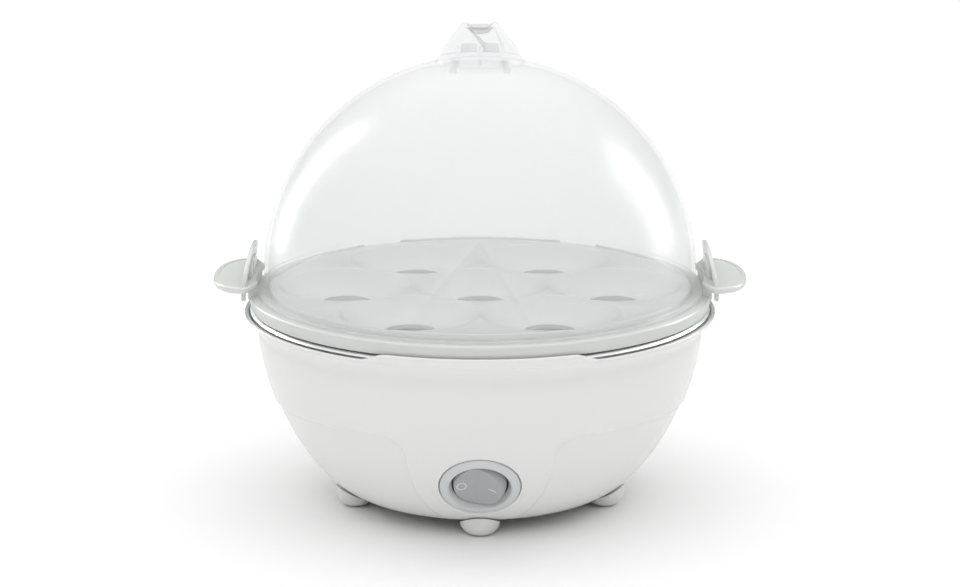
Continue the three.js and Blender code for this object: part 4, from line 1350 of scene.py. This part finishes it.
# ---- lid -----------------------------------------------------------------------------------------
@dataclass
class Lid:
    """The clear dome and its moulded grip."""

    radius: float = 77.4
    wall: float = 1.6
    centre: float = 82.5
    foot: float = 76.8
    foot_radius: float = 79.7
    foot_tall: float = 2.1
    arc_rows: int = 72
    hook_spread: float = 9.0
    hook_thick: float = 1.6
    hook_half: float = 3.5
    hook_long: float = 5.5
    hook_up: float = 0.5
    barb: float = 1.0
    slot_half: float = 1.7
    slot_long: float = 4.4
    slot_round: float = 0.5
    grip_base: float = 16.0
    base_thick: float = 1.3
    grip_tall: float = 12.4
    grip_half: float = 15.0
    horn: float = 5.3
    valley: float = 2.6
    grip_deep: float = 4.6
    grip_edge: float = 0.9
    grip_foot: float = 1.2
    pocket_tall: float = 4.6
    pocket_deep: float = 1.8
    pocket_round: float = 1.4
    gusset_spread: float = 7.8
    gusset_reach: float = 13.0
    gusset_tall: float = 5.0
    gusset_thick: float = 1.3
    gusset_edge: float = 0.3
    gusset_foot: float = 0.6

    @property
    def top(self) -> float:
        """The highest point of the dome."""
        return self.centre + self.radius

    @property
    def skin(self) -> float:
        """The radius that the grip's underside follows."""
        return self.radius + GAP

    def dome(self) -> bpy.types.Object:
        """The dome with the foot that it stands on and its two slots for the grip's hooks."""
        inner, start = self.radius - self.wall, self.centre - 1
        inside = arc(inner, (0.0, self.centre), 89, 0, self.arc_rows)
        outside = arc(self.radius, (0.0, self.centre), 0, 89, self.arc_rows)
        brow = self.foot + self.foot_tall
        foot = rounded([
            (inner, start, 0.0), (inner, self.foot, 0.3), (self.foot_radius, self.foot, 0.5),
            (self.foot_radius, brow, 0.6), (self.radius, brow + 0.3, 0.8), (self.radius, start, 0.0),
        ], steps=5)
        line = [(0.0, self.centre + inner), *inside, *foot, *outside, (0.0, self.top)]
        made = lathe("clear_dome", line, 256)
        for side in (-1, 1):
            slot = box(-self.slot_half, self.slot_half, -self.slot_long, self.slot_long)
            slot = rounded([(x, y, self.slot_round) for x, y in slot], Line.CLOSED)
            cut = slab("slot", slot, self.top - 8, self.top + 4)
            joined(made, placed(cut, at(side * self.hook_spread, 0.0)), Join.CUT)
        return made

    def outline(self) -> list[Point]:
        """The grip's outline from the front: a broad foot rising to two horns with a valley between."""
        top, tall, half = self.top, self.grip_tall, self.grip_half
        right = [
            (half, top - self.grip_foot, 0.0), (half * 0.92, top + tall * 0.14, 2.0),
            (half * 0.79, top + tall * 0.39, 3.0), (half * 0.67, top + tall * 0.57, 3.0),
            (half * 0.55, top + tall * 0.77, 3.0),
            (self.horn + 0.9, top + tall * 0.97, 1.0), (self.horn - 0.6, top + tall, 1.0),
            (self.horn * 0.45, top + tall - self.valley * 0.85, 1.2),
        ]
        left = [(-x, z, r) for x, z, r in reversed(right)]
        return rounded([*right, (0.0, top + tall - self.valley, 1.0), *left], Line.CLOSED, 5)

    def base(self) -> bpy.types.Object:
        """The thin round foot of the grip, lying on the dome."""
        skin, centre = self.skin, (0.0, self.centre)
        edge = math.degrees(math.acos(self.grip_base / skin))
        under = arc(skin, centre, 89.9, edge, 16)
        over = arc(skin + self.base_thick, centre, edge + 0.9, 89.9, 16)
        low, high = self.centre + skin, self.centre + skin + self.base_thick
        return lathe("grip", [(0.0, low), *under, *over, (0.0, high)], 128)

    def gusset(self, x: float, side: int) -> bpy.types.Object:
        """One rib that runs from the grip's face down to its foot.

        Args:
            x: where it stands along the grip.
            side: -1 in front, 1 behind.

        Returns:
            The rib.
        """
        low, high, reach = self.top - 2, self.top + self.gusset_tall, self.gusset_reach
        flat = rounded([
            (0.0, low, 0.0), (reach, low, 0.0), (reach, self.top - self.gusset_foot, 0.6),
            (self.grip_deep, high, 1.5), (0.0, high, 0.0),
        ], Line.CLOSED)
        rib = slab("rib", flat, -self.gusset_thick / 2, self.gusset_thick / 2, self.gusset_edge)
        upright = Matrix(((0, 0, 1, 0), (side, 0, 0, 0), (0, 1, 0, 0), (0, 0, 0, 1)))
        return placed(rib, at(x, 0.0) @ upright)

    def grip(self) -> bpy.types.Object:
        """The grip: its upright with a pocket between each two ribs, its foot and its two hooks."""
        upright = slab("upright", self.outline(), -self.grip_deep, self.grip_deep, self.grip_edge)
        placed(upright, Matrix.Rotation(math.pi / 2, 4, "X"))
        half, soft = self.gusset_spread / 2 - 1, self.pocket_round
        low, high = self.top - 1, self.top + self.pocket_tall
        for x in (-self.gusset_spread / 2, self.gusset_spread / 2):
            for side in (-1, 1):
                pocket = rounded([
                    (x - half, low, 0.0), (x + half, low, 0.0),
                    (x + half, high, soft), (x - half, high, soft),
                ], Line.CLOSED)
                cut = slab("pocket", pocket, self.grip_deep - self.pocket_deep, self.grip_deep + 2)
                turn = Matrix.Rotation(side * math.pi / 2, 4, "X") @ Matrix.Diagonal((1, side, 1, 1))
                joined(upright, placed(cut, turn), Join.CUT)
        for x in (-self.gusset_spread, 0.0, self.gusset_spread):
            for side in (-1, 1):
                joined(upright, self.gusset(x, side), Join.ADD)
        ball = arc(self.skin, (0.0, self.centre), -89, 89, 120)
        line = [(0.0, self.centre - self.skin), *ball, (0.0, self.centre + self.skin)]
        joined(upright, lathe("ball", line, 192), Join.CUT)
        made = joined(self.base(), upright, Join.ADD)
        thin, wide, high = self.hook_thick / 2, self.hook_half, self.top + self.hook_up
        low = high - self.hook_long
        for side in (-1, 1):
            x = side * self.hook_spread
            joined(made, slab("hook", box(x - thin, x + thin, -wide, wide), low, high), Join.ADD)
            barb = box(x - side * thin, x + side * (thin + self.barb), -wide, wide)
            joined(made, slab("barb", barb, low, low + self.barb), Join.ADD)
        return made

    def build(self) -> None:
        """Builds the dome and its grip."""
        dressed(self.dome(), CLEAR, Body.LID, "dome_lid")
        dressed(self.grip(), CLEAR, Body.LID, "lid_handle")


# ---- pieces that keep the frame's own shape ------------------------------------------------------
@dataclass
class Inside:
    """The working parts under the dish, which keep the frame's shape and only get their finishes."""

    finishes: dict[str, Finish] = field(default_factory=lambda: {
        "dish_seal": SILICONE, "heating_plate": CAST, "heating_coil": ZINC, "heat_shield": ZINC,
        "thermostat": CERAMIC, "thermal_fuse": CERAMIC, "clamp_bar": ZINC, "clamp_washer": ZINC,
        "earth_tag": BRASS, "clamp_nut": ZINC, "terminal_block": CERAMIC, "wire_line": RED_WIRE,
        "wire_switched": RED_WIRE, "wire_element": RED_WIRE, "wire_neutral": BLUE_WIRE,
        "wire_fuse": BLUE_WIRE, "wire_earth": GREEN_WIRE, "switch_barrel": DARK,
        "switch_terminal_common": BRASS, "switch_terminal_load": BRASS, "rocker_spring": ZINC,
        "contact_arm": BRASS,
    })

    def build(self) -> None:
        """Gives each working part its finish."""
        for node, finish in self.finishes.items():
            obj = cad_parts[node]
            obj.data.materials.clear()
            obj.data.materials.append(finish.material())
            log.info("%s: %s", node, finish.name)


# ---- studio --------------------------------------------------------------------------------------
@dataclass(frozen=True)
class Lamp:
    """A soft box: where it stands, how big it is and how bright."""

    name: str
    spot: Spot
    size: tuple[float, float]
    power: float


@dataclass
class Studio:
    """The pale floor, the soft light and the camera."""

    camera_spot: Spot = (0.0, -0.900, 0.2941)
    camera_dip: float = 13.71
    lens: float = 96.6
    sensor: float = 36.0
    floor_half: float = 6.0
    paper: Color = (0.93, 0.93, 0.93)
    paper_blotch: float = 400.0
    paper_mottle: float = 0.004
    paper_roughness: float = 0.9
    paper_sheen: float = 0.1
    target: Spot = (0.0, 0.0, 0.08)
    sky_axis: Spot = (0.0, 0.0, 1.0)
    sky_range: tuple[float, float, float, float] = (0.15, 0.75, 0.03, 1.5)
    lamps: tuple[Lamp, ...] = (
        Lamp("left_strip", (-0.85, 0.75, 0.42), (0.16, 0.95), 9.0),
        Lamp("right_box", (1.15, 0.55, 0.5), (0.55, 0.9), 14.0),
    )

    def floor(self) -> None:
        """Lays the pale floor."""
        half = self.floor_half / MM
        corners = [(x, y, 0.0) for x, y in box(-half, half, -half, half)]
        made = solid("floor", corners, [(0, 1, 2, 3)])
        net = Net("floor_paper")
        blotch = net.noise(self.paper_blotch, FINE_DETAIL, net.position())
        net.tint(blotch, self.paper, self.paper_mottle)
        net.shader.inputs["Roughness"].default_value = self.paper_roughness
        net.shader.inputs["Specular IOR Level"].default_value = self.paper_sheen
        made.data.materials.append(net.material)

    def sky(self) -> None:
        """Lights the studio from above, with a dark horizon that shows in the clear dome's edge."""
        world = bpy.data.worlds.new("studio")
        world.use_nodes = True
        tree = world.node_tree
        where = tree.nodes.new("ShaderNodeTexCoord")
        toward = tree.nodes.new("ShaderNodeVectorMath")
        toward.operation = "DOT_PRODUCT"
        toward.inputs[1].default_value = self.sky_axis
        ramp = tree.nodes.new("ShaderNodeMapRange")
        for label, number in zip(("From Min", "From Max", "To Min", "To Max"), self.sky_range):
            ramp.inputs[label].default_value = number
        tree.links.new(where.outputs["Generated"], toward.inputs[0])
        tree.links.new(toward.outputs["Value"], ramp.inputs["Value"])
        tree.nodes["Background"].inputs["Color"].default_value = (1.0, 1.0, 1.0, 1.0)
        tree.links.new(ramp.outputs["Result"], tree.nodes["Background"].inputs["Strength"])
        bpy.context.scene.world = world

    def lights(self) -> None:
        """Sets up the soft boxes, each facing the cooker and seen only as a reflection."""
        for lamp in self.lamps:
            data = bpy.data.lights.new(lamp.name, "AREA")
            data.shape = "RECTANGLE"
            data.size, data.size_y = lamp.size
            data.energy = lamp.power
            obj = bpy.data.objects.new(lamp.name, data)
            bpy.context.scene.collection.objects.link(obj)
            obj.location = lamp.spot
            obj.visible_diffuse = False
            aim = Vector(self.target) - Vector(lamp.spot)
            obj.rotation_mode = "QUATERNION"
            obj.rotation_quaternion = aim.to_track_quat("-Z", "Y")

    def camera(self) -> None:
        """Sets up the camera in front of the cooker, a little above it."""
        data = bpy.data.cameras.new("camera")
        data.sensor_width = self.sensor
        data.lens = self.lens
        obj = bpy.data.objects.new("camera", data)
        bpy.context.scene.collection.objects.link(obj)
        obj.location = self.camera_spot
        obj.rotation_euler = (math.radians(90 - self.camera_dip), 0.0, 0.0)
        bpy.context.scene.camera = obj

    def build(self) -> None:
        """Sets up the whole studio."""
        self.camera()
        self.floor()
        self.sky()
        self.lights()
        bpy.context.scene.view_settings.view_transform = "Standard"


def main() -> None:
    """Builds the cooker from the table upwards, then the studio round it."""
    logging.basicConfig(level=logging.INFO, format="%(name)s %(message)s")
    bowl = Bowl()
    Studio().build()
    for part in (Base(bowl), Underside(bowl), Heater(), Switch(bowl), EggTray(), Lid(), Inside()):
        log.info("building %s", type(part).__name__)
        part.build()


if __name__ == "__main__":
    main()
